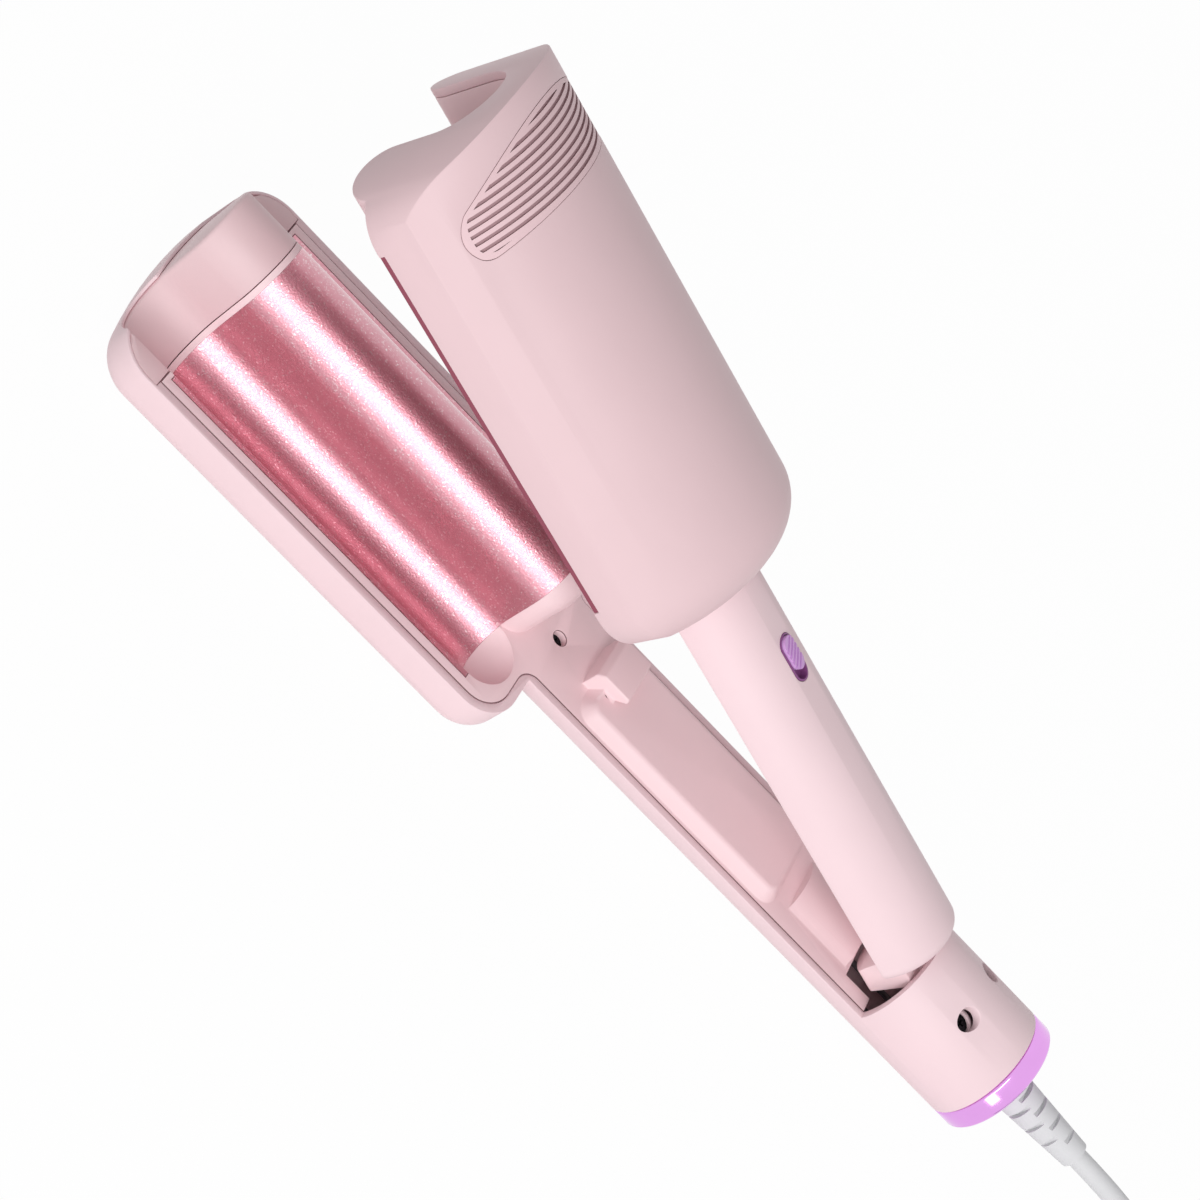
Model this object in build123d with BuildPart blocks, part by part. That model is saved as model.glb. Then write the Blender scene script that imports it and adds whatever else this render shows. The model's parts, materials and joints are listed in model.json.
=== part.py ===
"""Hair waver: a base arm and a spring-opened clamp arm with matching heated wave plates.

Frame: +X runs along the arms towards the cord, +Y to the far side, +Z up, and the table is z = 0.
The origin is the bottom centre of the waver without its cord.  The clamp arm is drawn closed,
parallel to the base arm, and then turned about the hinge to the open position.
All sizes are in millimetres.
"""

import os
from math import acos, atan2, cos, pi, radians, sin, sqrt, tan

from build123d import *

os.makedirs("parts", exist_ok=True)

# --- overall --------------------------------------------------------------------------------------
half_length = 167.5                 # from the origin to either end of the waver
head_x = -half_length
fit_gap = 0.1                       # between moulded pieces that are pushed together
seat_gap = 0.05                     # under pieces that are clamped down
shell_floor = 2.5                   # bottom wall of the base shell

# --- barrel, handle and ring of the base arm ------------------------------------------------------
barrel_radius = 20.0
axis_z = barrel_radius              # the barrel rests on the table
handle_wall = 2.8
rim_drop = 3.5
rim_z = axis_z - rim_drop           # parting plane of the base arm, where hair lies flat
ring_length = 7.25
barrel_length = 40.0
barrel_end_x = half_length - ring_length
barrel_start_x = barrel_end_x - barrel_length
bore_radius = barrel_radius - handle_wall

# --- hair wave, shared by both plates -------------------------------------------------------------
crest_radius = 12.65
valley_radius = 11.03
valley_y = 23.82                    # centres of the two valleys
valley_rise = 3.95                  # from the parting plane up to the valleys' centres
crest_rise = 11.39                  # from there up to the crest's centre
valley_z = rim_z + valley_rise
crest_z = valley_z + crest_rise
plate_thickness = 1.4
plate_flange = 0.9                  # flat edge of the plate beside its valleys
plate_half_width = valley_y + valley_radius + plate_flange
plate_length = 112.0
plate_step = 3.0                    # length of the steps that carry the plate ends
end_bar = 1.8                       # pale bar between tip block and plate
jaw_gap = 1.6                       # room for hair between the closed plates

# --- head of the base arm -------------------------------------------------------------------------
rim_wall = 2.75
frame_strip = 3.5                   # flat frame between rim and plate
ledge_width = 1.2                   # step inside the rim that carries the deck
head_half_width = plate_half_width + frame_strip + rim_wall
head_bulge_radius = 150.0           # the end of the head bulges a little
head_corner_radius = 14.0
head_bottom_radius = 9.0
tip_length = 20.0
plate_head_x = head_x + tip_length + end_bar
plate_tail_x = plate_head_x + plate_length
ramp_reach = 9.0                    # the crest ends in a half dome of this length
shoulder_setback = 15.7
shoulder_x = plate_tail_x + shoulder_setback    # where the head ends and the handle starts
shoulder_radius = 13.0
shoulder_hollow_radius = 5.0        # inner corner between head and handle, on the deck

# --- base deck ------------------------------------------------------------------------------------
deck_thickness = 2.5
ramp_wall = 4.0
ramp_face = 2.0
wire_radius = 0.9
wire_y = 5.1
wire_z = axis_z - sqrt((bore_radius - wire_radius - seat_gap) ** 2 - wire_y**2)
wire_block_gap = 0.53               # between the heater's wires and the block above them
valley_block_z = wire_z + wire_radius + wire_block_gap
slot_length = 10.25
slot_start_x = barrel_start_x - slot_length
slot_side_gap = 0.8                 # beside the clamp arm's ear
hump_setback = 1.5
hump_length = 24.5
hump_end_x = slot_start_x - hump_setback
hump_start_x = hump_end_x - hump_length
hump_half_width = 10.0
hump_height = 3.4
hump_root = 0.5                     # how far the hump reaches into the deck
plateau_setback = 16.0
plateau_end_gap = 5.0
plateau_start_x = shoulder_x + plateau_setback
plateau_end_x = hump_start_x - plateau_end_gap
plateau_side_gap = 1.2
plateau_half_width = bore_radius - plateau_side_gap
plateau_height = 4.0
plateau_corner_radius = 6.0
plateau_slope = 36.0                # degrees
hook_lead = 2.5
hook_start_x = plateau_start_x - hook_lead
hook_length = 12.3
hook_neck = 7.7                     # thickness under the undercut
hook_height = 8.5
hook_back_bevel = 2.0
hook_tip_bevel = 0.8
hook_tip_height = 1.7
hook_undercut = 1.0                 # how far the undercut starts below the plateau's top
hook_near_y = -6.0
hook_far_y = 10.5
neck_screw_setback = 1.0
neck_screw_x = shoulder_x + neck_screw_setback
neck_boss_radius = 4.0
neck_head_radius = 2.2
neck_shank_radius = 1.1
neck_seat_drop = 4.0                # of the screw's seat, below the parting plane
neck_seat_z = rim_z - neck_seat_drop
neck_seat_floor = 2.5
neck_boss_base_z = neck_seat_z - neck_seat_floor
neck_head_height = 1.6

# --- base tip block -------------------------------------------------------------------------------
tip_wall = 2.6
tip_floor_gap = 0.5
tip_bottom_z = shell_floor + tip_floor_gap
tip_rim = 1.0                       # what is left of the shell's rim beside the tip block
tip_seat_drop = 1.4                 # of the tip block's seat, below the valleys
tip_seat_z = valley_z - valley_radius - tip_seat_drop

# --- heating --------------------------------------------------------------------------------------
heater_half_width = 8.0
heater_height = 6.0
heater_margin = 8.0                 # from plate end to heater end
web_half_width = 2.0
bracket_half_width = 8.5
bracket_cap = 3.0
fuse_radius = 2.0
fuse_length = 12.0
bead_radius = 1.3
bead_length = 7.0
fuse_setback = 50.7
fuse_x = plate_head_x + fuse_setback
wire_head_lap = 6.3                 # how far the wires reach in under the plate
wire_tail_gap = 10.25
wire_start_x = plate_tail_x - wire_head_lap
wire_end_x = barrel_end_x - wire_tail_gap

# --- hinge ----------------------------------------------------------------------------------------
hinge_setback = 12.0
hinge_rise = 2.0
hinge_x = barrel_end_x - hinge_setback
hinge_z = axis_z + hinge_rise
open_angle = 16.59
pin_radius = 2.0
pin_running_gap = 0.05
tongue_half_width = 3.4
tongue_eye_radius = 4.2
tongue_foot = 3.4                   # from the pin down to the tongue's underside
tongue_crown = 4.0
cheek_inner_y = 6.4
cheek_outer_y = 13.0
block_front = 13.25                 # from the pin to either end of the block
block_back = 3.75
block_half_height = 9.5
block_start_x = hinge_x - block_front
block_end_x = hinge_x + block_back
block_bottom_z = axis_z - block_half_height
block_top_z = axis_z + block_half_height
bridge_height = 3.5
bridge_top_z = block_bottom_z + bridge_height
spring_wire = 1.0
spring_turns = 2.5
spring_mean_radius = 3.2
spring_leg_radius = 0.45
spring_side_gap = 0.3
barrel_screw_setback = 8.2
barrel_screw_x = hinge_x - barrel_screw_setback
barrel_screw_y = (cheek_inner_y + cheek_outer_y) / 2
screw_well_radius = 3.3
screw_boss_radius = 4.6
screw_head_radius = 2.8
screw_head_height = 2.0
screw_shank_radius = 1.4
screw_well_floor = 2.0
screw_seat_z = block_top_z + screw_well_floor
screw_hole_floor = 2.0              # under the screw holes in the hinge block
screw_tip_gap = 2.0

# --- clamp arm, in the closed position ------------------------------------------------------------
clamp_inset = 2.3                   # of the cover's side walls, from the base's
clamp_half_width = head_half_width - clamp_inset
clamp_wall = 2.5
dome_margin = 2.3
dome_radius = clamp_half_width + dome_margin
dome_drop = 3.1                     # of the dome's axis, below the parting plane
dome_centre_z = rim_z - dome_drop
clamp_bulge_radius = 110.0
clamp_corner_radius = 13.0
clamp_tail_setback = 2.0
clamp_tail_x = shoulder_x - clamp_tail_setback
clamp_tail_radius = 14.0            # rounding of the dome above the handle
clamp_tail_corner = 16.0
clamp_tip_length = 17.0
clamp_tip_x = head_x + clamp_tip_length     # the cover reaches down to the jaw line up to here
clamp_plate_gap = 1.0
clamp_plate_head_x = clamp_tip_x + clamp_plate_gap
clamp_plate_setback = 4.5
clamp_plate_tail_x = plate_tail_x - clamp_plate_setback
clamp_plate_recess = 0.5            # of the plate's edge, inside the cover's side wall
clamp_plate_half_width = clamp_half_width - clamp_plate_recess
window_gap = 0.2
plate_window = plate_thickness + window_gap     # height of the strip in which its edge shows
clamp_frame_thickness = 2.4
wing_gap = 0.5                      # between the frame's wings and the plate's arch
clamp_heater_half_width = 4.5
clamp_heater_height = 4.8
mica_thickness = 0.5
ramp_clearance = 1.9                # between the clamp's neck panel and the base's ramp
grip_setback = 6.5
grip_length = 22.4
grip_head_x = head_x + grip_setback         # finger grip on the dome, at y = 0
grip_tail_x = grip_head_x + grip_length
grip_side_margin = 8.2
grip_half_width = clamp_half_width - grip_side_margin   # where its curved ends start
grip_bow = 10.5                     # how far its head edge sweeps back
grip_tail_bow = 1.6
grip_end_bulge = 2.2
grip_corner_radius = 3.0
grip_border = 1.3                   # plain border round the ribs
grip_depth = 1.2
grip_sheet = 0.45
rib_pitch = 2.1
rib_width = 1.2
rib_top_gap = 0.1                   # the ribs end this far under the dome

# --- clamp handle ---------------------------------------------------------------------------------
tube_inset = 3.0
tube_rise = 0.4
grip_tube_radius = barrel_radius - tube_inset
grip_tube_z = axis_z + tube_rise
grip_tube_wall = 2.5
grip_rim_rise = 0.4
grip_rim_z = grip_tube_z + grip_rim_rise
tube_lap = 4.0                      # how far the handle reaches into the head
tube_end_gap = 34.25                # from its other end to the hinge pin
grip_start_x = clamp_tail_x - tube_lap
grip_end_x = hinge_x - tube_end_gap
grip_end_radius = 4.0
liner_lift = 3.1                    # of the inner cover above the plateau when closed
liner_z = rim_z + plateau_height + liner_lift
liner_thickness = 2.2
liner_head_gap = 2.0
liner_tail_gap = 11.0
liner_start_x = clamp_tail_x + liner_head_gap
liner_end_x = grip_end_x - liner_tail_gap
lever_height = 8.4
lever_bottom_z = hinge_z - tongue_foot
lever_top_z = lever_bottom_z + lever_height
lever_block_length = 18.5           # wide part that fills the handle's end
lever_block_lap = 0.5
lever_block_end_x = grip_end_x + lever_block_lap
lever_block_start_x = lever_block_end_x - lever_block_length
lever_block_height = 6.0
lever_block_bottom_z = lever_top_z - lever_block_height
ear_half_width = 10.9
ear_rise = 2.0
ear_top_z = hinge_z + ear_rise
ear_radius = 15.0                   # rounded underside, round the barrel axis
ear_reach = 37.3                    # from hinge pin to the front of the ear
ear_back = 27.25                    # from hinge pin to its back
ear_end_x = hinge_x - ear_back
neck_half_width = 4.6               # lever between the barrel screws
neck_back = 4.75
neck_end_x = hinge_x - neck_back
hook_slot_clearance = 1.7
handle_screw_head_gap = 42.0        # from the ends of the handle to its two screws
handle_screw_tail_gap = 22.0
handle_screw_x = (clamp_tail_x + handle_screw_head_gap, grip_end_x - handle_screw_tail_gap)
handle_boss_radius = 3.5
handle_screw_head_radius = 2.2
handle_screw_head_height = 1.5
handle_screw_shank_radius = 1.1
handle_screw_length = 7.5
cross_length = 3.0                  # cross slots in the screw heads
cross_width = 0.6
cross_depth = 0.8

# --- switch ---------------------------------------------------------------------------------------
recess_setback = 24.0
recess_start_x = clamp_tail_x + recess_setback
recess_length = 15.2
recess_width = 6.9
bezel_wall = 0.6
bezel_floor = 0.8
bezel_cavity_depth = 2.3            # from the top of the handle to the floor of the recess
slider_length = 10.5
slider_gap = 0.25
slider_float = 0.05
slider_stroke = 3.0
slider_rise = 0.9
slider_groove = 0.7
slider_groove_depth = 0.5
slider_grooves = 5
slider_groove_angle = 35.0          # degrees
switch_stem = 1.6
switch_stem_length = 2.7
switch_body_length = 13.0
switch_body_width = 6.4
switch_body_height = 4.2
board_length = 28.0
board_x = sum(handle_screw_x) / 2
board_start_x = board_x - board_length / 2
board_end_x = board_x + board_length / 2
board_side_gap = 4.0
board_half_width = grip_tube_radius - grip_tube_wall - board_side_gap
board_thickness = 1.6
board_lift = 2.4                    # height of the posts under the board
post_radius = 2.0
post_inset = 4.0                    # from either end of the board
chip_size = 7.0
chip_height = 1.5

# --- ring, swivel and strain relief ---------------------------------------------------------------
ring_chamfer = 0.9
ring_wall = 2.5
ring_pocket_radius = 12.0
flange_gap = 0.5
swivel_flange_radius = ring_pocket_radius - flange_gap
swivel_neck_radius = 6.5
swivel_gap = 0.08
swivel_end_gap = 0.3
relief_length = 34.0
relief_tip_radius = 4.6
relief_slot = 1.5
relief_pitch = 3.3
relief_slots = 8
relief_core_radius = 3.9
socket_radius = 9.0
socket_length = 7.5
contact_radius = 2.5
contact_end_gap = 0.5
contact_depth = 5.5                 # how far the plug reaches into the socket

# --- cord -----------------------------------------------------------------------------------------
cord_radius = 3.2
coil_layer_turns = 3.25             # turns in each of the two layers
coil_inner_radius = 26.0            # middle of the innermost turn
coil_entry_x = 286.0                # where the cord runs into the coil, along y = 0
coil_loose = 0.2
plug_start_x = 287.0                # cord end of the plug, which lies on the coil
plug_y = -7.5
plug_length = 34.0
plug_width = 35.0
plug_height = 13.6
plug_neck_width = 13.0
plug_face_length = 14.0
plug_corner_radius = 3.0
prong_length = 19.0
prong_radius = 2.0
prong_spacing = 18.6

hinge_axis = Axis((hinge_x, 0, hinge_z), (0, 1, 0))


# --- shared shapes --------------------------------------------------------------------------------
def wave_line(depth, half_width):
    """Draw the hair wave, lowered by depth along its normal, from -half_width to half_width."""
    crest_r = crest_radius - depth
    valley_r = valley_radius + depth
    flange_z = rim_z - depth
    rise = crest_z - valley_z
    lean = acos((crest_radius + valley_radius) / sqrt(valley_y**2 + rise**2))
    normal = atan2(rise, valley_y) - lean
    crest_end_y = crest_r * cos(normal)
    crest_end_z = crest_z + crest_r * sin(normal)
    valley_end_y = valley_y - valley_r * cos(normal)
    valley_end_z = valley_z - valley_r * sin(normal)
    reach = valley_y + sqrt(valley_r**2 - (valley_z - flange_z) ** 2)
    for side in (-1, 1):
        Line((side * half_width, flange_z), (side * reach, flange_z))
        ThreePointArc(
            (side * reach, flange_z),
            (side * valley_y, valley_z - valley_r),
            (side * valley_end_y, valley_end_z),
        )
        Line((side * valley_end_y, valley_end_z), (side * crest_end_y, crest_end_z))
    ThreePointArc((-crest_end_y, crest_end_z), (0, crest_z + crest_r), (crest_end_y, crest_end_z))


def wave_area(plane, depth, half_width, far_z):
    """Return the area between the wave and the level line far_z, below or above it."""
    with BuildSketch(plane) as area:
        with BuildLine():
            wave_line(depth, half_width)
            Polyline(
                (-half_width, rim_z - depth),
                (-half_width, far_z),
                (half_width, far_z),
                (half_width, rim_z - depth),
            )
        make_face()
    return area.sketch


def wave_sheet(plane, depth, thickness, half_width):
    """Return the section of a sheet whose upper face is the wave at depth."""
    with BuildSketch(plane) as sheet:
        with BuildLine():
            wave_line(depth, half_width)
            wave_line(depth + thickness, half_width)
            for side in (-1, 1):
                Line(
                    (side * half_width, rim_z - depth),
                    (side * half_width, rim_z - depth - thickness),
                )
        make_face()
    return sheet.sketch


def head_outline(plane, end_x, bulge_radius, half_width, tail_x, end_corner, tail_corner):
    """Return a head seen from above: a bulged end and four rounded corners."""
    sag = bulge_radius - sqrt(bulge_radius**2 - half_width**2)
    with BuildSketch(plane) as head:
        with BuildLine():
            ThreePointArc((end_x + sag, half_width), (end_x, 0), (end_x + sag, -half_width))
            Polyline(
                (end_x + sag, -half_width),
                (tail_x, -half_width),
                (tail_x, half_width),
                (end_x + sag, half_width),
            )
        make_face()
        fillet(head.vertices().group_by(Axis.X)[0], end_corner)
        fillet(head.vertices().group_by(Axis.X)[-1], tail_corner)
    return head.sketch


def base_head(z, inset):
    """Return the outline of the base head at height z, inset from its outer wall."""
    return head_outline(
        Plane.XY.offset(z),
        head_x + inset,
        head_bulge_radius - inset,
        head_half_width - inset,
        shoulder_x - inset,
        head_corner_radius - inset,
        shoulder_radius - inset,
    )


def clamp_head(z, inset):
    """Return the outline of the clamp head at height z, inset from its outer wall."""
    return head_outline(
        Plane.XY.offset(z),
        head_x + inset,
        clamp_bulge_radius - inset,
        clamp_half_width - inset,
        clamp_tail_x - inset,
        clamp_corner_radius - inset,
        clamp_tail_corner - inset,
    )


def box_between(x, y, z, mode=Mode.ADD):
    """Add or cut a box given by its low and high values along each axis."""
    with BuildSketch(Plane.XY.offset(z[0])) as foot:
        with Locations(((x[0] + x[1]) / 2, (y[0] + y[1]) / 2)):
            Rectangle(x[1] - x[0], y[1] - y[0])
    extrude(foot.sketch, amount=z[1] - z[0], mode=mode)


def rod_along_x(radius, start_x, end_x, y, z, mode=Mode.ADD):
    """Add or cut a round rod that runs along X."""
    with BuildSketch(Plane.YZ.offset(start_x)) as section:
        with Locations((y, z)):
            Circle(radius)
    extrude(section.sketch, amount=end_x - start_x, mode=mode)


def rod_along_z(radius, x, y, start_z, end_z, mode=Mode.ADD):
    """Add or cut a round rod that runs along Z."""
    with BuildSketch(Plane.XY.offset(start_z)) as section:
        with Locations((x, y)):
            Circle(radius)
    extrude(section.sketch, amount=end_z - start_z, mode=mode)


def rod_along_y(radius, x, z, start_y, end_y, mode=Mode.ADD):
    """Add or cut a round rod that runs along Y."""
    with BuildSketch(Plane.XZ.offset(-start_y)) as section:
        with Locations((x, z)):
            Circle(radius)
    extrude(section.sketch, amount=-(end_y - start_y), mode=mode)


def cut_cross(x, y, low_z, high_z):
    """Cut the cross slot of a screw head."""
    for across in ((cross_length, cross_width), (cross_width, cross_length)):
        box_between(
            (x - across[0] / 2, x + across[0] / 2),
            (y - across[1] / 2, y + across[1] / 2),
            (low_z, high_z),
            Mode.SUBTRACT,
        )


def deck_outline(inset):
    """Return the base deck's outline behind the tip block, inset from the shell's rim."""
    half_width = head_half_width - rim_wall - inset
    strip_half_width = bore_radius - inset
    neck_x = shoulder_x - rim_wall - inset
    start_x = plate_head_x - end_bar
    end_x = barrel_start_x - inset
    with BuildSketch(Plane.XY.offset(rim_z - deck_thickness)) as deck:
        with BuildLine():
            Polyline(
                (start_x, -half_width),
                (neck_x, -half_width),
                (neck_x, -strip_half_width),
                (end_x, -strip_half_width),
                (end_x, strip_half_width),
                (neck_x, strip_half_width),
                (neck_x, half_width),
                (start_x, half_width),
                close=True,
            )
        make_face()
        fillet(vertices_at_x(deck, neck_x)[1:3], shoulder_hollow_radius + inset)
        fillet(vertices_at_x(deck, neck_x)[::5], shoulder_radius - rim_wall - inset)
    return deck.sketch


def vertices_at_x(sketch, x):
    """Return the sketch's corner points that lie at x, in order of y."""
    corners = sketch.vertices().filter_by_position(Axis.X, x - fit_gap, x + fit_gap)
    return corners.sort_by(Axis.Y)


def opened(closed_part):
    """Turn a piece of the clamp arm about the hinge, from closed to open."""
    return closed_part.rotate(hinge_axis, open_angle)


# --- base arm: shell ------------------------------------------------------------------------------
frame_head_x = plate_head_x - end_bar
step_z = rim_z - deck_thickness
neck_overlap_x = shoulder_x - 2 * shoulder_radius
neck_hole_z = shell_floor + 1

with BuildPart() as tip_pocket:
    extrude(base_head(tip_seat_z, tip_rim), amount=rim_z - tip_seat_z + 1)
    box_between(
        (frame_head_x - fit_gap, 0),
        (-head_half_width, head_half_width),
        (0, rim_z + 1),
        Mode.SUBTRACT,
    )

with BuildPart() as base_housing:
    extrude(base_head(0, 0), amount=rim_z)
    fillet(base_housing.edges().group_by(Axis.Z)[0], head_bottom_radius)
    rod_along_x(barrel_radius, neck_overlap_x, barrel_end_x, 0, axis_z)
    box_between(
        (neck_overlap_x - 1, barrel_start_x),
        (-barrel_radius - 1, barrel_radius + 1),
        (rim_z, axis_z + barrel_radius + 1),
        Mode.SUBTRACT,
    )
    extrude(
        base_head(shell_floor, rim_wall + ledge_width),
        amount=step_z - shell_floor,
        mode=Mode.SUBTRACT,
    )
    extrude(base_head(step_z, rim_wall), amount=deck_thickness + 1, mode=Mode.SUBTRACT)
    add(tip_pocket.part, mode=Mode.SUBTRACT)
    rod_along_x(bore_radius, neck_overlap_x, barrel_end_x, 0, axis_z, Mode.SUBTRACT)
    extrude(deck_outline(0), amount=deck_thickness + 1, mode=Mode.SUBTRACT)
    # the end wall dips with the wave, so that the clamp's lobes pass over it
    extrude(
        wave_area(
            Plane.YZ.offset(head_x - 1),
            0,
            valley_y + valley_radius,
            crest_z + 2 * crest_radius,
        ),
        amount=rim_wall + head_corner_radius,
        mode=Mode.SUBTRACT,
    )
    rod_along_z(neck_boss_radius, neck_screw_x, 0, shell_floor - 1, neck_boss_base_z)
    rod_along_z(
        neck_shank_radius, neck_screw_x, 0, neck_hole_z, neck_boss_base_z, Mode.SUBTRACT
    )
    # wells for the two screws in the top of the barrel
    for side in (-1, 1):
        well_y = side * barrel_screw_y
        wall_z = axis_z + sqrt(barrel_radius**2 - (barrel_screw_y + screw_boss_radius) ** 2)
        rod_along_z(screw_boss_radius, barrel_screw_x, well_y, block_top_z, wall_z)
        rod_along_z(
            screw_shank_radius, barrel_screw_x, well_y, block_top_z, screw_seat_z, Mode.SUBTRACT
        )
        rod_along_z(
            screw_well_radius,
            barrel_screw_x,
            well_y,
            screw_seat_z,
            axis_z + barrel_radius,
            Mode.SUBTRACT,
        )
base_housing.part.label = "base_housing"
export_step(base_housing.part, "parts/base_housing.step")

# --- base arm: deck with frame, ramp, plateau, hook, hump and slot --------------------------------
frame_half_width = head_half_width - rim_wall - fit_gap
crest_top_z = crest_z + crest_radius
step_half_width = frame_half_width - ledge_width - fit_gap

with BuildPart() as crest_end:
    Sphere(crest_radius)
    with BuildSketch():
        Circle(crest_radius)
    extrude(amount=valley_block_z - crest_z)
    with BuildSketch(Plane.YZ):
        Rectangle(4 * crest_radius, 4 * crest_z)
    extrude(amount=-2 * crest_radius, mode=Mode.SUBTRACT)
    scale(by=(ramp_reach / crest_radius, 1, 1))
crest_end.part = crest_end.part.moved(Location((plate_tail_x, 0, crest_z)))

with BuildPart() as base_deck:
    extrude(deck_outline(fit_gap), amount=deck_thickness)
    # block behind the plate's tail end: low under the valleys, high under the crest
    extrude(
        base_head(valley_block_z, rim_wall + ledge_width + fit_gap),
        amount=step_z - valley_block_z,
    )
    box_between(
        (head_x, plate_tail_x),
        (-head_half_width, head_half_width),
        (valley_block_z, step_z),
        Mode.SUBTRACT,
    )
    add(crest_end.part)
    # the valleys end in round dishes
    with Locations(
        (plate_tail_x, -valley_y, valley_z),
        (plate_tail_x, valley_y, valley_z),
    ):
        Sphere(valley_radius - seat_gap, mode=Mode.SUBTRACT)
    # opening for the plate, with a step under each end of it
    box_between(
        (plate_head_x, plate_tail_x),
        (-plate_half_width - fit_gap, plate_half_width + fit_gap),
        (valley_block_z - 1, crest_top_z + 1),
        Mode.SUBTRACT,
    )
    step_depth = plate_thickness + seat_gap
    for step_x, step_length in (
        (plate_tail_x - plate_step, plate_step),
        (frame_head_x, end_bar + plate_step),
    ):
        extrude(
            wave_sheet(Plane.YZ.offset(step_x), step_depth, plate_thickness, step_half_width),
            amount=step_length,
        )
    extrude(
        wave_area(Plane.YZ.offset(frame_head_x), 0, plate_half_width, valley_block_z),
        amount=end_bar,
    )
    extrude(
        wave_area(
            Plane.YZ.offset(frame_head_x - 1), 0, valley_y + valley_radius, crest_top_z + 1
        ),
        amount=end_bar + 1,
        mode=Mode.SUBTRACT,
    )
    # hollow inside of the ramp, open to the heater side
    with BuildSketch(Plane.YZ.offset(plate_tail_x - plate_step)):
        with Locations((0, (valley_block_z + crest_z) / 2)):
            Rectangle(2 * (crest_radius - ramp_wall), crest_z - valley_block_z)
    extrude(amount=plate_step + ramp_face, mode=Mode.SUBTRACT)
    # plateau under the closed handle
    with BuildSketch(Plane.XY.offset(rim_z)):
        with Locations(((plateau_start_x + plateau_end_x) / 2, 0)):
            RectangleRounded(
                plateau_end_x - plateau_start_x, 2 * plateau_half_width, plateau_corner_radius
            )
    extrude(amount=plateau_height, taper=plateau_slope)
    # hook that catches the clamp handle's inner cover
    with BuildSketch(Plane.XZ.offset(-hook_near_y)):
        with BuildLine():
            Polyline(
                (hook_start_x, rim_z),
                (hook_start_x, rim_z + hook_height - hook_back_bevel),
                (hook_start_x + hook_back_bevel, rim_z + hook_height),
                (hook_start_x + hook_length - hook_tip_bevel, rim_z + hook_height),
                (hook_start_x + hook_length, rim_z + hook_height - hook_tip_height),
                (hook_start_x + hook_neck, rim_z + plateau_height - hook_undercut),
                (hook_start_x + hook_neck, rim_z),
                close=True,
            )
        make_face()
    extrude(amount=-(hook_far_y - hook_near_y))
    # rounded hump ahead of the slot
    hump_radius = (hump_half_width**2 + hump_height**2) / (2 * hump_height)
    with BuildSketch(Plane.YZ.offset(hump_start_x)):
        with Locations((0, rim_z + hump_height - hump_radius)):
            Circle(hump_radius)
        with Locations((0, rim_z - hump_root + hump_radius)):
            Rectangle(4 * hump_radius, 2 * hump_radius, mode=Mode.INTERSECT)
    extrude(amount=hump_end_x - hump_start_x)
    # slot for the ear of the clamp arm
    box_between(
        (slot_start_x, barrel_start_x + 1),
        (-ear_half_width - slot_side_gap, ear_half_width + slot_side_gap),
        (step_z - 1, rim_z + hump_height + 1),
        Mode.SUBTRACT,
    )
    rod_along_z(neck_boss_radius, neck_screw_x, 0, neck_boss_base_z, step_z + 1)
    rod_along_z(
        neck_shank_radius + fit_gap, neck_screw_x, 0, neck_boss_base_z, rim_z + 1, Mode.SUBTRACT
    )
    rod_along_z(
        neck_head_radius + fit_gap, neck_screw_x, 0, neck_seat_z, rim_z + 1, Mode.SUBTRACT
    )
base_deck.part.label = "base_deck"
export_step(base_deck.part, "parts/base_deck.step")

# --- base arm: tip block --------------------------------------------------------------------------
tip_end_x = head_x + rim_wall + fit_gap
tip_tail_x = frame_head_x - 2 * fit_gap

with BuildPart() as base_tip_block:
    extrude(
        base_head(tip_bottom_z, rim_wall + ledge_width + fit_gap),
        amount=tip_seat_z + seat_gap - tip_bottom_z,
    )
    extrude(
        base_head(tip_seat_z + seat_gap, tip_rim + fit_gap), amount=crest_top_z - tip_seat_z
    )
    extrude(
        wave_area(Plane.YZ.offset(head_x), 0, head_half_width, crest_top_z + crest_radius),
        amount=half_length,
        mode=Mode.SUBTRACT,
    )
    box_between(
        (tip_tail_x, 0),
        (-head_half_width, head_half_width),
        (0, crest_top_z + crest_radius),
        Mode.SUBTRACT,
    )
    extrude(
        wave_area(
            Plane.YZ.offset(tip_end_x + tip_wall), tip_wall, frame_half_width - tip_wall, 0
        ),
        amount=half_length,
        mode=Mode.SUBTRACT,
    )
base_tip_block.part.label = "base_tip_block"
export_step(base_tip_block.part, "parts/base_tip_block.step")

# --- base arm: wave plate, heater and what holds it -----------------------------------------------
with BuildPart() as base_wave_plate:
    extrude(
        wave_sheet(
            Plane.YZ.offset(plate_head_x + seat_gap), 0, plate_thickness, plate_half_width
        ),
        amount=plate_tail_x - plate_head_x - 2 * seat_gap,
    )
base_wave_plate.part.label = "base_wave_plate"
export_step(base_wave_plate.part, "parts/base_wave_plate.step")

heater_head_x = plate_head_x + heater_margin
heater_tail_x = plate_tail_x - heater_margin
base_inner_crest = crest_radius - plate_thickness
heater_top_z = crest_z + sqrt(base_inner_crest**2 - heater_half_width**2) - seat_gap

with BuildPart() as base_heater:
    box_between(
        (heater_head_x, heater_tail_x),
        (-heater_half_width, heater_half_width),
        (heater_top_z - heater_height, heater_top_z),
    )
base_heater.part.label = "base_heater"
export_step(base_heater.part, "parts/base_heater.step")

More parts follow.
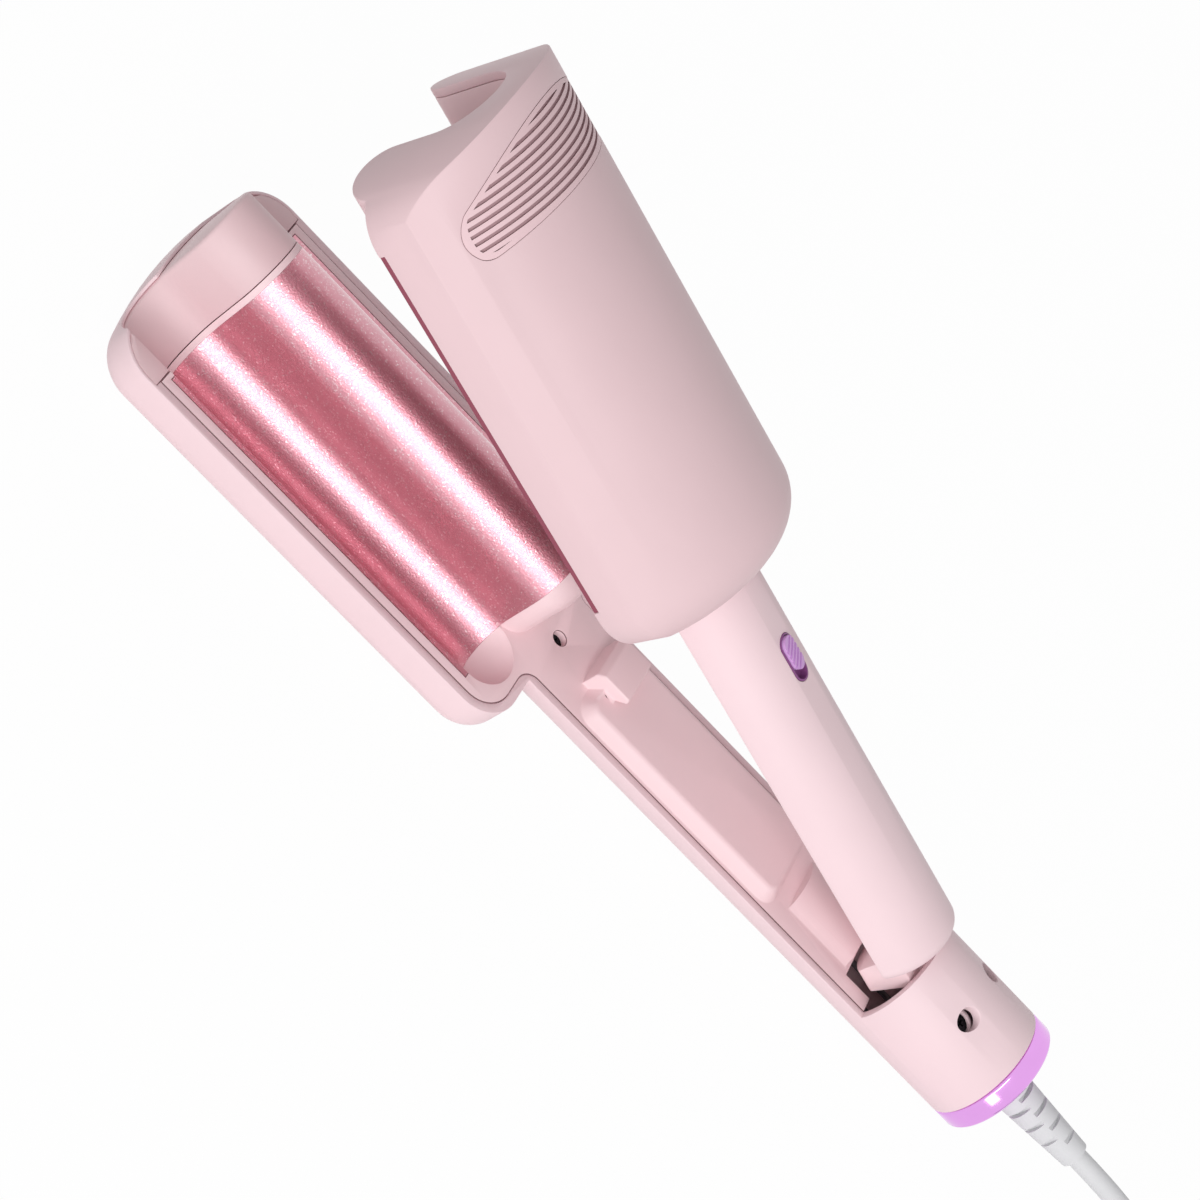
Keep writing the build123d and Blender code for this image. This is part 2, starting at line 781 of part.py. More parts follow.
with BuildPart() as heater_bracket:
    bracket_top_z = heater_top_z - heater_height
    box_between(
        (heater_head_x, heater_tail_x),
        (-bracket_half_width, bracket_half_width),
        (bracket_top_z - bracket_cap, bracket_top_z),
    )
    box_between(
        (heater_head_x, heater_tail_x),
        (-web_half_width, web_half_width),
        (shell_floor, bracket_top_z - bracket_cap),
    )
heater_bracket.part.label = "heater_bracket"
export_step(heater_bracket.part, "parts/heater_bracket.step")

with BuildPart() as thermal_fuse:
    rod_along_x(
        fuse_radius,
        fuse_x,
        fuse_x + fuse_length,
        -web_half_width - fuse_radius - seat_gap,
        bracket_top_z - bracket_cap - fuse_radius - seat_gap,
    )
thermal_fuse.part.label = "thermal_fuse"
export_step(thermal_fuse.part, "parts/thermal_fuse.step")

with BuildPart() as base_thermistor:
    rod_along_x(
        bead_radius,
        fuse_x,
        fuse_x + bead_length,
        web_half_width + bead_radius + seat_gap,
        bracket_top_z - bracket_cap - bead_radius - seat_gap,
    )
base_thermistor.part.label = "base_thermistor"
export_step(base_thermistor.part, "parts/base_thermistor.step")

with BuildPart() as neck_screw:
    neck_top_z = neck_seat_z + neck_head_height
    rod_along_z(neck_head_radius, neck_screw_x, 0, neck_seat_z, neck_top_z)
    rod_along_z(neck_shank_radius, neck_screw_x, 0, neck_hole_z + fit_gap, neck_seat_z)
    cut_cross(neck_screw_x, 0, neck_top_z - cross_depth, neck_top_z)
neck_screw.part.label = "neck_screw"
export_step(neck_screw.part, "parts/neck_screw.step")

# --- hinge ----------------------------------------------------------------------------------------
with BuildPart() as hinge_block:
    for side in (-1, 1):
        box_between(
            (block_start_x, block_end_x),
            sorted((side * cheek_inner_y, side * cheek_outer_y)),
            (block_bottom_z, block_top_z),
        )
    box_between(
        (block_start_x, block_end_x),
        (-cheek_inner_y, cheek_inner_y),
        (block_bottom_z, bridge_top_z),
    )
    rod_along_x(
        bore_radius - fit_gap, block_start_x, block_end_x, 0, axis_z, Mode.INTERSECT
    )
    rod_along_y(pin_radius, hinge_x, hinge_z, -cheek_outer_y, cheek_outer_y, Mode.SUBTRACT)
    for side in (-1, 1):
        rod_along_z(
            screw_shank_radius,
            barrel_screw_x,
            side * barrel_screw_y,
            block_bottom_z + screw_hole_floor,
            block_top_z,
            Mode.SUBTRACT,
        )
hinge_block.part.label = "hinge_block"
export_step(hinge_block.part, "parts/hinge_block.step")

with BuildPart() as barrel_screws:
    for side in (-1, 1):
        screw_y = side * barrel_screw_y
        rod_along_z(
            screw_head_radius,
            barrel_screw_x,
            screw_y,
            screw_seat_z,
            screw_seat_z + screw_head_height,
        )
        rod_along_z(
            screw_shank_radius,
            barrel_screw_x,
            screw_y,
            block_bottom_z + screw_hole_floor + screw_tip_gap,
            screw_seat_z,
        )
        screw_top_z = screw_seat_z + screw_head_height
        cut_cross(barrel_screw_x, screw_y, screw_top_z - cross_depth, screw_top_z)
barrel_screws.part.label = "barrel_screws"
export_step(barrel_screws.part, "parts/barrel_screws.step")

with BuildPart() as hinge_pin:
    rod_along_y(pin_radius, hinge_x, hinge_z, -cheek_outer_y, cheek_outer_y)
hinge_pin.part.label = "hinge_pin"
export_step(hinge_pin.part, "parts/hinge_pin.step")

with BuildPart() as jaw_spring:
    for side in (-1, 1):
        spring_y = tongue_half_width + spring_side_gap
        coil_start = side * spring_y
        coil_end = side * (spring_y + spring_turns * spring_wire)
        rod_along_y(
            spring_mean_radius + spring_wire / 2, hinge_x, hinge_z, coil_start, coil_end
        )
        rod_along_y(
            spring_mean_radius - spring_wire / 2,
            hinge_x,
            hinge_z,
            coil_start,
            coil_end,
            Mode.SUBTRACT,
        )
        leg_y = side * (spring_y + (spring_turns - 0.5) * spring_wire)
        rod_along_z(
            spring_leg_radius,
            hinge_x - spring_mean_radius,
            leg_y,
            bridge_top_z,
            hinge_z,
        )
jaw_spring.part.label = "jaw_spring"
export_step(jaw_spring.part, "parts/jaw_spring.step")

# --- tail ring and swivel -------------------------------------------------------------------------
with BuildPart() as tail_ring:
    rod_along_x(barrel_radius, barrel_end_x, half_length, 0, axis_z)
    end_edges = tail_ring.edges().filter_by(GeomType.CIRCLE)
    chamfer(end_edges, ring_chamfer)
    rod_along_x(bore_radius - fit_gap, barrel_end_x - ring_wall, barrel_end_x + 2, 0, axis_z)
    rod_along_x(
        ring_pocket_radius,
        barrel_end_x - ring_wall,
        half_length - ring_wall,
        0,
        axis_z,
        Mode.SUBTRACT,
    )
    rod_along_x(
        swivel_neck_radius + swivel_gap,
        barrel_end_x,
        half_length,
        0,
        axis_z,
        Mode.SUBTRACT,
    )
tail_ring.part.label = "tail_ring"
export_step(tail_ring.part, "parts/tail_ring.step")

flange_start_x = barrel_end_x + swivel_end_gap
flange_end_x = half_length - ring_wall - swivel_end_gap
contact_start_x = barrel_end_x - contact_depth

with BuildPart() as swivel_socket:
    rod_along_x(
        ring_pocket_radius - fit_gap, barrel_end_x - ring_wall, barrel_end_x, 0, axis_z
    )
    rod_along_x(socket_radius, barrel_end_x - socket_length, barrel_end_x, 0, axis_z)
    rod_along_x(
        contact_radius + swivel_gap,
        contact_start_x - contact_end_gap,
        barrel_end_x,
        0,
        axis_z,
        Mode.SUBTRACT,
    )
swivel_socket.part.label = "swivel_socket"
export_step(swivel_socket.part, "parts/swivel_socket.step")

with BuildPart() as swivel_plug:
    rod_along_x(swivel_flange_radius, flange_start_x, flange_end_x, 0, axis_z)
    rod_along_x(contact_radius, contact_start_x, flange_start_x, 0, axis_z)
swivel_plug.part.label = "swivel_plug"
export_step(swivel_plug.part, "parts/swivel_plug.step")

relief_end_x = half_length + relief_length

with BuildPart() as strain_relief:
    with BuildSketch(Plane.XZ):
        with BuildLine():
            Polyline(
                (flange_end_x, axis_z),
                (flange_end_x, axis_z + swivel_neck_radius),
                (half_length + relief_pitch, axis_z + swivel_neck_radius),
                (relief_end_x, axis_z + relief_tip_radius),
                (relief_end_x, axis_z),
                close=True,
            )
        make_face()
    revolve(axis=Axis((0, 0, axis_z), (1, 0, 0)))
    for index in range(relief_slots):
        slot_x = half_length + relief_pitch * (index + 1)
        with BuildSketch(Plane.YZ.offset(slot_x)):
            for side in (-1, 1):
                across = (0, side) if index % 2 else (side, 0)
                reach = relief_core_radius + swivel_neck_radius
                with Locations((across[0] * reach, axis_z + across[1] * reach)):
                    Rectangle(2 * swivel_neck_radius, 2 * swivel_neck_radius)
        extrude(amount=relief_slot, mode=Mode.SUBTRACT)
strain_relief.part.label = "strain_relief"
export_step(strain_relief.part, "parts/strain_relief.step")

# --- base arm: wires to the heater ----------------------------------------------------------------
with BuildPart() as lead_wires:
    for side in (-1, 1):
        rod_along_x(wire_radius, wire_start_x, wire_end_x, side * wire_y, wire_z)
lead_wires.part.label = "lead_wires"
export_step(lead_wires.part, "parts/lead_wires.step")

# --- clamp arm: cover, drawn closed like all of this arm ------------------------------------------
jaw_z = rim_z + jaw_gap
lobe_bottom_z = valley_z - valley_radius + jaw_gap
dome_top_z = dome_centre_z + dome_radius
window_top_z = jaw_z + plate_window


def clamp_body(inset, bottom_z):
    """Return the solid under the clamp's dome, inset from its outer wall."""
    tail_x = clamp_tail_x - inset
    radius = dome_radius - inset
    tail_r = clamp_tail_radius - inset
    with BuildPart() as dome:
        with BuildSketch(Plane.XY) as side_view:
            with BuildLine():
                JernArc((tail_x - tail_r, radius), (1, 0), tail_r, -90)
                Polyline(
                    (tail_x, radius - tail_r),
                    (tail_x, 0),
                    (head_x, 0),
                    (head_x, radius),
                    (tail_x - tail_r, radius),
                )
            make_face()
        revolve(side_view.sketch, axis=Axis.X)
    with BuildPart() as body:
        extrude(clamp_head(bottom_z, inset), amount=dome_centre_z + radius - bottom_z)
        add(dome.part.moved(Location((0, 0, dome_centre_z))), mode=Mode.INTERSECT)
    return body.part


def grip_outline(grow):
    """Return the finger grip's outline seen from above, grown by a clearance."""
    head_x = grip_head_x - grow
    tail_x = grip_tail_x + grow
    half_width = grip_half_width
    head_corner_x = head_x + grip_bow
    tail_corner_x = tail_x + grip_tail_bow
    end_y = half_width + grip_end_bulge + grow
    with BuildSketch(Plane.XY.offset(dome_centre_z)) as grip:
        with BuildLine():
            ThreePointArc((head_corner_x, -half_width), (head_x, 0), (head_corner_x, half_width))
            ThreePointArc(
                (tail_corner_x, -half_width), (tail_x, 0), (tail_corner_x, half_width)
            )
            for side in (-1, 1):
                ThreePointArc(
                    (head_corner_x, side * half_width),
                    ((head_corner_x + tail_corner_x) / 2, side * end_y),
                    (tail_corner_x, side * half_width),
                )
        make_face()
        fillet(grip.vertices(), grip_corner_radius)
    return grip.sketch


outer_body = clamp_body(0, jaw_z)
inner_body = clamp_body(clamp_wall, jaw_z - 1)

with BuildPart() as grip_recess:
    extrude(grip_outline(fit_gap), amount=dome_radius + 1)
    rod_along_x(
        dome_radius - grip_depth, head_x, clamp_tail_x, 0, dome_centre_z, Mode.SUBTRACT
    )

with BuildPart() as clamp_cover:
    add(outer_body)
    add(inner_body, mode=Mode.SUBTRACT)
    # the end wall and the corners reach down to the base's wave
    extrude(clamp_head(lobe_bottom_z, 0), amount=jaw_z - lobe_bottom_z)
    extrude(
        clamp_head(lobe_bottom_z, clamp_wall),
        amount=jaw_z - lobe_bottom_z,
        mode=Mode.SUBTRACT,
    )
    box_between(
        (clamp_tip_x, 0),
        (-head_half_width, head_half_width),
        (0, jaw_z),
        Mode.SUBTRACT,
    )
    extrude(
        wave_area(Plane.YZ.offset(head_x - 1), -jaw_gap, head_half_width, 0),
        amount=clamp_tip_x - head_x + 1,
        mode=Mode.SUBTRACT,
    )
    # open strip in which the plate's edge shows
    box_between(
        (clamp_plate_head_x, clamp_plate_tail_x),
        (-head_half_width, head_half_width),
        (jaw_z - 1, window_top_z),
        Mode.SUBTRACT,
    )
    # opening for the handle
    rod_along_x(
        grip_tube_radius + seat_gap,
        grip_start_x,
        clamp_tail_x + 1,
        0,
        grip_tube_z,
        Mode.SUBTRACT,
    )
    box_between(
        (grip_start_x, clamp_tail_x + 1),
        (-grip_tube_radius - seat_gap, grip_tube_radius + seat_gap),
        (jaw_z - 1, grip_tube_z),
        Mode.SUBTRACT,
    )
    add(grip_recess.part, mode=Mode.SUBTRACT)
clamp_cover.part = opened(clamp_cover.part)
clamp_cover.part.label = "clamp_cover"
export_step(clamp_cover.part, "parts/clamp_cover.step")

# --- clamp arm: ribbed finger grip ----------------------------------------------------------------
sheet_top_radius = dome_radius - grip_depth + seat_gap + grip_sheet
rib_count = int((grip_tail_x - grip_head_x + grip_tail_bow) / rib_pitch) + 1

with BuildPart() as grip_grooves:
    for index in range(rib_count):
        groove_x = grip_head_x + rib_width + index * rib_pitch
        with BuildSketch(Plane.YZ.offset(groove_x)) as groove:
            with Locations((0, dome_centre_z)):
                Circle(dome_radius + 1)
                Circle(sheet_top_radius, mode=Mode.SUBTRACT)
        extrude(groove.sketch, amount=rib_pitch - rib_width)
    extrude(grip_outline(-grip_border), amount=dome_radius + 1, mode=Mode.INTERSECT)

with BuildPart() as finger_grip:
    extrude(grip_outline(0), amount=dome_radius)
    rod_along_x(
        dome_radius - rib_top_gap, head_x, clamp_tail_x, 0, dome_centre_z, Mode.INTERSECT
    )
    rod_along_x(
        dome_radius - grip_depth + seat_gap,
        head_x,
        clamp_tail_x,
        0,
        dome_centre_z,
        Mode.SUBTRACT,
    )
    add(grip_grooves.part, mode=Mode.SUBTRACT)
finger_grip.part = opened(finger_grip.part)
finger_grip.part.label = "finger_grip"
export_step(finger_grip.part, "parts/finger_grip.step")

# --- clamp arm: tip block, frame and wave plate ---------------------------------------------------
clamp_inner = clamp_wall + fit_gap
clamp_inner_half_width = clamp_half_width - clamp_inner

with BuildPart() as clamp_tip_block:
    extrude(
        wave_sheet(
            Plane.YZ.offset(head_x), -jaw_gap - tip_wall, tip_wall, clamp_half_width
        ),
        amount=clamp_tip_x - fit_gap - head_x,
    )
    extrude(clamp_head(0, clamp_inner), amount=dome_top_z, mode=Mode.INTERSECT)
clamp_tip_block.part = opened(clamp_tip_block.part)
clamp_tip_block.part.label = "clamp_tip_block"
export_step(clamp_tip_block.part, "parts/clamp_tip_block.step")

with BuildPart() as clamp_wave_plate:
    extrude(
        wave_sheet(
            Plane.YZ.offset(clamp_plate_head_x + seat_gap),
            -jaw_gap - plate_thickness,
            plate_thickness,
            clamp_plate_half_width,
        ),
        amount=clamp_plate_tail_x - clamp_plate_head_x - 2 * seat_gap,
    )
clamp_wave_plate.part = opened(clamp_wave_plate.part)
clamp_wave_plate.part.label = "clamp_wave_plate"
export_step(clamp_wave_plate.part, "parts/clamp_wave_plate.step")

wing_bottom_z = jaw_z + plate_thickness + seat_gap
wing_top_z = wing_bottom_z + clamp_frame_thickness
wing_inner_y = crest_radius + jaw_gap + plate_thickness + wing_gap
panel_start_x = clamp_plate_tail_x + fit_gap
panel_top_z = jaw_z + clamp_frame_thickness

with BuildPart() as clamp_frame:
    extrude(clamp_head(jaw_z, clamp_inner), amount=wing_top_z - jaw_z)
    box_between(
        (head_x, clamp_plate_head_x + fit_gap),
        (-clamp_half_width, clamp_half_width),
        (jaw_z, wing_top_z),
        Mode.SUBTRACT,
    )
    box_between(
        (head_x, panel_start_x),
        (-clamp_half_width, clamp_half_width),
        (jaw_z, wing_bottom_z),
        Mode.SUBTRACT,
    )
    box_between(
        (panel_start_x + end_bar, clamp_tail_x),
        (-clamp_half_width, clamp_half_width),
        (panel_top_z, wing_top_z),
        Mode.SUBTRACT,
    )
    box_between(
        (head_x, panel_start_x),
        (-wing_inner_y, wing_inner_y),
        (jaw_z, wing_top_z),
        Mode.SUBTRACT,
    )
    box_between(
        (panel_start_x, clamp_tail_x),
        (-crest_radius - ramp_clearance, crest_radius + ramp_clearance),
        (jaw_z, wing_top_z),
        Mode.SUBTRACT,
    )
    extrude(
        wave_sheet(
            Plane.YZ.offset(panel_start_x),
            -jaw_gap - 2 * plate_thickness,
            2 * plate_thickness,
            clamp_inner_half_width,
        ),
        amount=end_bar,
    )
clamp_frame.part = opened(clamp_frame.part)
clamp_frame.part.label = "clamp_frame"
export_step(clamp_frame.part, "parts/clamp_frame.step")

# --- clamp arm: heaters ---------------------------------------------------------------------------
clamp_heater_start_x = clamp_plate_head_x + heater_margin
clamp_heater_end_x = clamp_plate_tail_x - heater_margin
clamp_inner_valley = valley_radius - jaw_gap - plate_thickness
clamp_heater_z = (
    valley_z - sqrt(clamp_inner_valley**2 - clamp_heater_half_width**2) + seat_gap
)
mica_z = clamp_heater_z + clamp_heater_height + seat_gap

with BuildPart() as clamp_heaters:
    for side in (-1, 1):
        box_between(
            (clamp_heater_start_x, clamp_heater_end_x),
            (
                side * valley_y - clamp_heater_half_width,
                side * valley_y + clamp_heater_half_width,
            ),
            (clamp_heater_z, clamp_heater_z + clamp_heater_height),
        )
clamp_heaters.part = opened(clamp_heaters.part)
clamp_heaters.part.label = "clamp_heaters"
export_step(clamp_heaters.part, "parts/clamp_heaters.step")

with BuildPart() as clamp_mica:
    for side in (-1, 1):
        box_between(
            (clamp_heater_start_x, clamp_heater_end_x),
            (
                side * valley_y - clamp_heater_half_width,
                side * valley_y + clamp_heater_half_width,
            ),
            (mica_z, mica_z + mica_thickness),
        )
clamp_mica.part = opened(clamp_mica.part)
clamp_mica.part.label = "clamp_mica"
export_step(clamp_mica.part, "parts/clamp_mica.step")

with BuildPart() as clamp_thermistor:
    rod_along_x(
        bead_radius,
        fuse_x,
        fuse_x + bead_length,
        valley_y,
        wing_top_z + bead_radius + seat_gap,
    )
clamp_thermistor.part = opened(clamp_thermistor.part)
clamp_thermistor.part.label = "clamp_thermistor"
export_step(clamp_thermistor.part, "parts/clamp_thermistor.step")

# --- clamp arm: handle ----------------------------------------------------------------------------
tube_bore_radius = grip_tube_radius - grip_tube_wall
tube_top_z = grip_tube_z + grip_tube_radius
recess_x = recess_start_x + recess_length / 2
liner_top_z = liner_z + liner_thickness


def stadium(z, centre_x, length, width):
    """Return a slot-shaped outline, long in X, at height z."""
    with BuildSketch(Plane.XY.offset(z)) as outline:
        with Locations((centre_x, 0)):
            SlotOverall(length, width)
    return outline.sketch


with BuildPart() as clamp_handle:
    rod_along_x(grip_tube_radius, grip_start_x, grip_end_x, 0, grip_tube_z)
    fillet(clamp_handle.faces().sort_by(Axis.X)[-1].edges(), grip_end_radius)
    rod_along_x(
        tube_bore_radius,
        grip_start_x,
        grip_end_x - grip_tube_wall,
        0,
        grip_tube_z,
        Mode.SUBTRACT,
    )
    box_between(
        (grip_start_x, grip_end_x),
        (-grip_tube_radius, grip_tube_radius),
        (grip_tube_z - grip_tube_radius, grip_rim_z),
        Mode.SUBTRACT,
    )
    # bosses for the screws that hold the inner cover
    for screw_x in handle_screw_x:
        rod_along_z(
            handle_boss_radius, screw_x, 0, liner_top_z + fit_gap, tube_top_z - grip_tube_wall / 2
        )
        rod_along_z(
            handle_screw_shank_radius,
            screw_x,
            0,
            liner_top_z + fit_gap,
            tube_top_z - grip_tube_wall,
            Mode.SUBTRACT,
        )
    # notch in the end wall for the lever
    box_between(
        (grip_end_x - 2 * grip_tube_wall, grip_end_x),
        (-ear_half_width - fit_gap, ear_half_width + fit_gap),
        (grip_rim_z - 1, lever_top_z + fit_gap),
        Mode.SUBTRACT,
    )
    extrude(
        stadium(liner_top_z, recess_x, recess_length, recess_width),
        amount=tube_top_z - liner_top_z + 1,
        mode=Mode.SUBTRACT,
    )
clamp_handle.part = opened(clamp_handle.part)
clamp_handle.part.label = "clamp_handle"
export_step(clamp_handle.part, "parts/clamp_handle.step")

# --- clamp arm: inner cover of the handle, with the lever to the hinge ----------------------------
with BuildPart() as lever_ear:
    with BuildSketch(Plane.XZ) as sector:
        with BuildLine():
            front = []
            for height in (ear_top_z, axis_z - ear_radius / 2, axis_z - ear_radius):
                front.append((hinge_x - sqrt(ear_reach**2 - (height - hinge_z) ** 2), height))
            ThreePointArc(*front)
            Polyline(
                front[-1],
                (ear_end_x, axis_z - ear_radius),
                (ear_end_x, ear_top_z),
                front[0],
            )
        make_face()
    extrude(sector.sketch, amount=ear_half_width, both=True)
    rod_along_x(ear_radius, lever_block_start_x, ear_end_x, 0, axis_z, Mode.INTERSECT)

with BuildPart() as handle_liner:
    box_between(
        (liner_start_x, liner_end_x),
        (-grip_tube_radius, grip_tube_radius),
        (liner_z, liner_top_z),
    )
    rod_along_x(
        tube_bore_radius - fit_gap,
        liner_start_x,
        liner_end_x,
        0,
        grip_tube_z,
        Mode.INTERSECT,
    )
    box_between(
        (hook_start_x - hook_slot_clearance, hook_start_x + hook_length + hook_slot_clearance),
        (hook_near_y - hook_slot_clearance, hook_far_y + hook_slot_clearance),
        (liner_z, liner_top_z),
        Mode.SUBTRACT,
    )
    box_between(
        (lever_block_start_x, lever_block_end_x),
        (-ear_half_width, ear_half_width),
        (lever_block_bottom_z, lever_top_z),
    )
    add(lever_ear.part)
    box_between(
        (lever_block_end_x, neck_end_x),
        (-neck_half_width, neck_half_width),
        (lever_bottom_z, lever_top_z),
    )
    box_between(
        (neck_end_x, hinge_x),
        (-tongue_half_width, tongue_half_width),
        (hinge_z - tongue_foot, hinge_z + tongue_crown),
    )
    rod_along_y(
        tongue_eye_radius, hinge_x, hinge_z, -tongue_half_width, tongue_half_width
    )
    rod_along_y(
        pin_radius + pin_running_gap,
        hinge_x,
        hinge_z,
        -tongue_half_width,
        tongue_half_width,
        Mode.SUBTRACT,
    )
    for post_x in (
        board_start_x + post_inset,
        board_end_x - post_inset,
    ):
        rod_along_z(post_radius, post_x, 0, liner_top_z, liner_top_z + board_lift)
    for screw_x in handle_screw_x:
        rod_along_z(
            handle_screw_shank_radius + fit_gap, screw_x, 0, liner_z, liner_top_z, Mode.SUBTRACT
        )
        rod_along_z(
            handle_screw_head_radius + fit_gap,
            screw_x,
            0,
            liner_z,
            liner_z + handle_screw_head_height / 2,
            Mode.SUBTRACT,
        )
handle_liner.part = opened(handle_liner.part)
handle_liner.part.label = "handle_liner"
export_step(handle_liner.part, "parts/handle_liner.step")

screw_head_z = liner_z - handle_screw_head_height / 2

with BuildPart() as liner_screws:
    for screw_x in handle_screw_x:
        rod_along_z(
            handle_screw_head_radius,
            screw_x,
            0,
            screw_head_z,
            screw_head_z + handle_screw_head_height,
        )
        rod_along_z(
            handle_screw_shank_radius,
            screw_x,
            0,
            screw_head_z + handle_screw_head_height,
            screw_head_z + handle_screw_head_height + handle_screw_length,
        )
        cut_cross(screw_x, 0, screw_head_z, screw_head_z + cross_depth)
liner_screws.part = opened(liner_screws.part)
liner_screws.part.label = "liner_screws"
export_step(liner_screws.part, "parts/liner_screws.step")

board_z = liner_top_z + board_lift + seat_gap

with BuildPart() as circuit_board:
    box_between(
        (board_start_x, board_end_x),
        (-board_half_width, board_half_width),
        (board_z, board_z + board_thickness),
    )
    for chip_x in (board_x - chip_size, board_x + chip_size):
        box_between(
            (chip_x - chip_size / 2, chip_x + chip_size / 2),
            (-chip_size / 2, chip_size / 2),
            (board_z + board_thickness, board_z + board_thickness + chip_height),
        )
circuit_board.part = opened(circuit_board.part)
circuit_board.part.label = "circuit_board"
export_step(circuit_board.part, "parts/circuit_board.step")

# --- clamp arm: slide switch ----------------------------------------------------------------------
cavity_z = tube_top_z - bezel_cavity_depth
bezel_bottom_z = cavity_z - bezel_floor
cavity_length = recess_length - 2 * bezel_wall
cavity_width = recess_width - 2 * bezel_wall
slider_start_x = recess_start_x + bezel_wall + slider_gap
slider_x = slider_start_x + slider_length / 2
slider_width = cavity_width - 2 * slider_gap
slider_bottom_z = cavity_z + slider_float
slider_top_radius = grip_tube_radius + slider_rise
stem_half = switch_stem / 2
stem_slot = (slider_x - stem_half - slider_gap, slider_x + slider_stroke + stem_half + slider_gap)

with BuildPart() as switch_bezel:
    extrude(
        stadium(bezel_bottom_z, recess_x, recess_length - 2 * fit_gap, recess_width - 2 * fit_gap),
        amount=tube_top_z - bezel_bottom_z,
    )
    rod_along_x(
        grip_tube_radius, grip_start_x, grip_end_x, 0, grip_tube_z, Mode.INTERSECT
    )
    extrude(
        stadium(cavity_z, recess_x, cavity_length, cavity_width),
        amount=tube_top_z - cavity_z,
        mode=Mode.SUBTRACT,
    )
    box_between(
        stem_slot,
        (-stem_half - slider_gap, stem_half + slider_gap),
        (bezel_bottom_z, cavity_z),
        Mode.SUBTRACT,
    )
switch_bezel.part = opened(switch_bezel.part)
switch_bezel.part.label = "switch_bezel"
export_step(switch_bezel.part, "parts/switch_bezel.step")

with BuildPart() as switch_slider:
    extrude(
        stadium(slider_bottom_z, slider_x, slider_length, slider_width),
        amount=tube_top_z + slider_rise - slider_bottom_z,
    )
    rod_along_x(
        slider_top_radius, grip_start_x, grip_end_x, 0, grip_tube_z, Mode.INTERSECT
    )
    # slanting grooves for the thumb
    for index in range(slider_grooves):
        groove_x = slider_start_x + slider_length * (index + 1) / (slider_grooves + 1)
        with BuildSketch(Plane.XY.offset(tube_top_z + slider_rise - slider_groove_depth)) as cut:
            with Locations((groove_x, 0)):
                Rectangle(slider_groove, 2 * slider_width, rotation=slider_groove_angle)
        extrude(cut.sketch, amount=2 * slider_groove_depth, mode=Mode.SUBTRACT)
    box_between(
        (slider_x - stem_half, slider_x + stem_half),
        (-stem_half, stem_half),
        (slider_bottom_z - switch_stem_length, slider_bottom_z),
    )
switch_slider.part = opened(switch_slider.part)
switch_slider.part.label = "switch_slider"
export_step(switch_slider.part, "parts/switch_slider.step")

switch_top_z = bezel_bottom_z - fit_gap

with BuildPart() as switch_body:
    box_between(
        (recess_x - switch_body_length / 2, recess_x + switch_body_length / 2),
        (-switch_body_width / 2, switch_body_width / 2),
        (switch_top_z - switch_body_height, switch_top_z),
    )
    box_between(
        stem_slot,
        (-stem_half - slider_gap, stem_half + slider_gap),
        (slider_bottom_z - switch_stem_length - slider_gap, switch_top_z),
        Mode.SUBTRACT,
    )
switch_body.part = opened(switch_body.part)
switch_body.part.label = "switch_body"
export_step(switch_body.part, "parts/switch_body.step")

# --- cord -----------------------------------------------------------------------------------------
coil_outer_radius = coil_inner_radius + coil_layer_turns * 2 * cord_radius
coil_y = -coil_outer_radius
coil_top_z = 4 * cord_radius + coil_loose
plug_z = coil_top_z + plug_height / 2
cord_route = (
    (relief_end_x, 0, axis_z),
    (223.0, 0, axis_z),
    (245.0, 0.9, 13.2),
    (269.0, 0.2, cord_radius),
    (coil_entry_x, 0, cord_radius),
)
tail_route = (
    (coil_entry_x, 2 * coil_y, 3 * cord_radius),
    (261.8, -88.8, 13.4),
    (243.0, -66.9, 16.3),
    (241.5, -42.0, 16.4),
    (250.0, -21.0, 17.0),
    (267.0, -9.0, 19.2),
    (plug_start_x, plug_y, plug_z),
)


def route_radii(route):
    """Return the arc radius at each inner point: as large as its two runs allow."""
    radii = []
    for before, here, after in zip(route, route[1:], route[2:]):
        run_in = Vector(*here) - Vector(*before)
        run_out = Vector(*after) - Vector(*here)
        half_turn = run_in.get_angle(run_out) / 2
        shorter = min(run_in.length, run_out.length)
        radii.append(0.45 * shorter / tan(radians(half_turn)))
    return radii


with BuildPart() as power_cord:
    with BuildLine() as cord_path:
        FilletPolyline(*cord_route, radius=route_radii(cord_route))
    with BuildSketch(Plane(cord_route[0], z_dir=(1, 0, 0))):
        Circle(cord_radius)
    sweep()
power_cord.part.label = "power_cord"
export_step(power_cord.part, "parts/power_cord.step")

with BuildPart() as cord_tail:
    with BuildLine() as tail_path:
        FilletPolyline(*tail_route, radius=route_radii(tail_route))
    with BuildSketch(Plane(tail_route[0], z_dir=tail_path.line % 0)):
        Circle(cord_radius)
    sweep()
cord_tail.part.label = "cord_tail"
export_step(cord_tail.part, "parts/cord_tail.step")

for route, path, tube in (
    (cord_route, cord_path, power_cord),
    (tail_route, tail_path, cord_tail),
):
    print("cord radii", [round(radius, 1) for radius in route_radii(route)])
    path_length = sum(edge.length for edge in path.edges())
    print("tube volume ratio", tube.part.volume / (path_length * pi * cord_radius**2))

with BuildPart() as cord_coil:
    with BuildSketch():
        with Locations((coil_entry_x, coil_y)):
            Circle(coil_outer_radius + cord_radius + coil_loose)
            Circle(coil_inner_radius - cord_radius - coil_loose, mode=Mode.SUBTRACT)
    extrude(amount=coil_top_z)
cord_coil.part.label = "cord_coil"
export_step(cord_coil.part, "parts/cord_coil.step")

plug_face_x = plug_start_x + plug_length

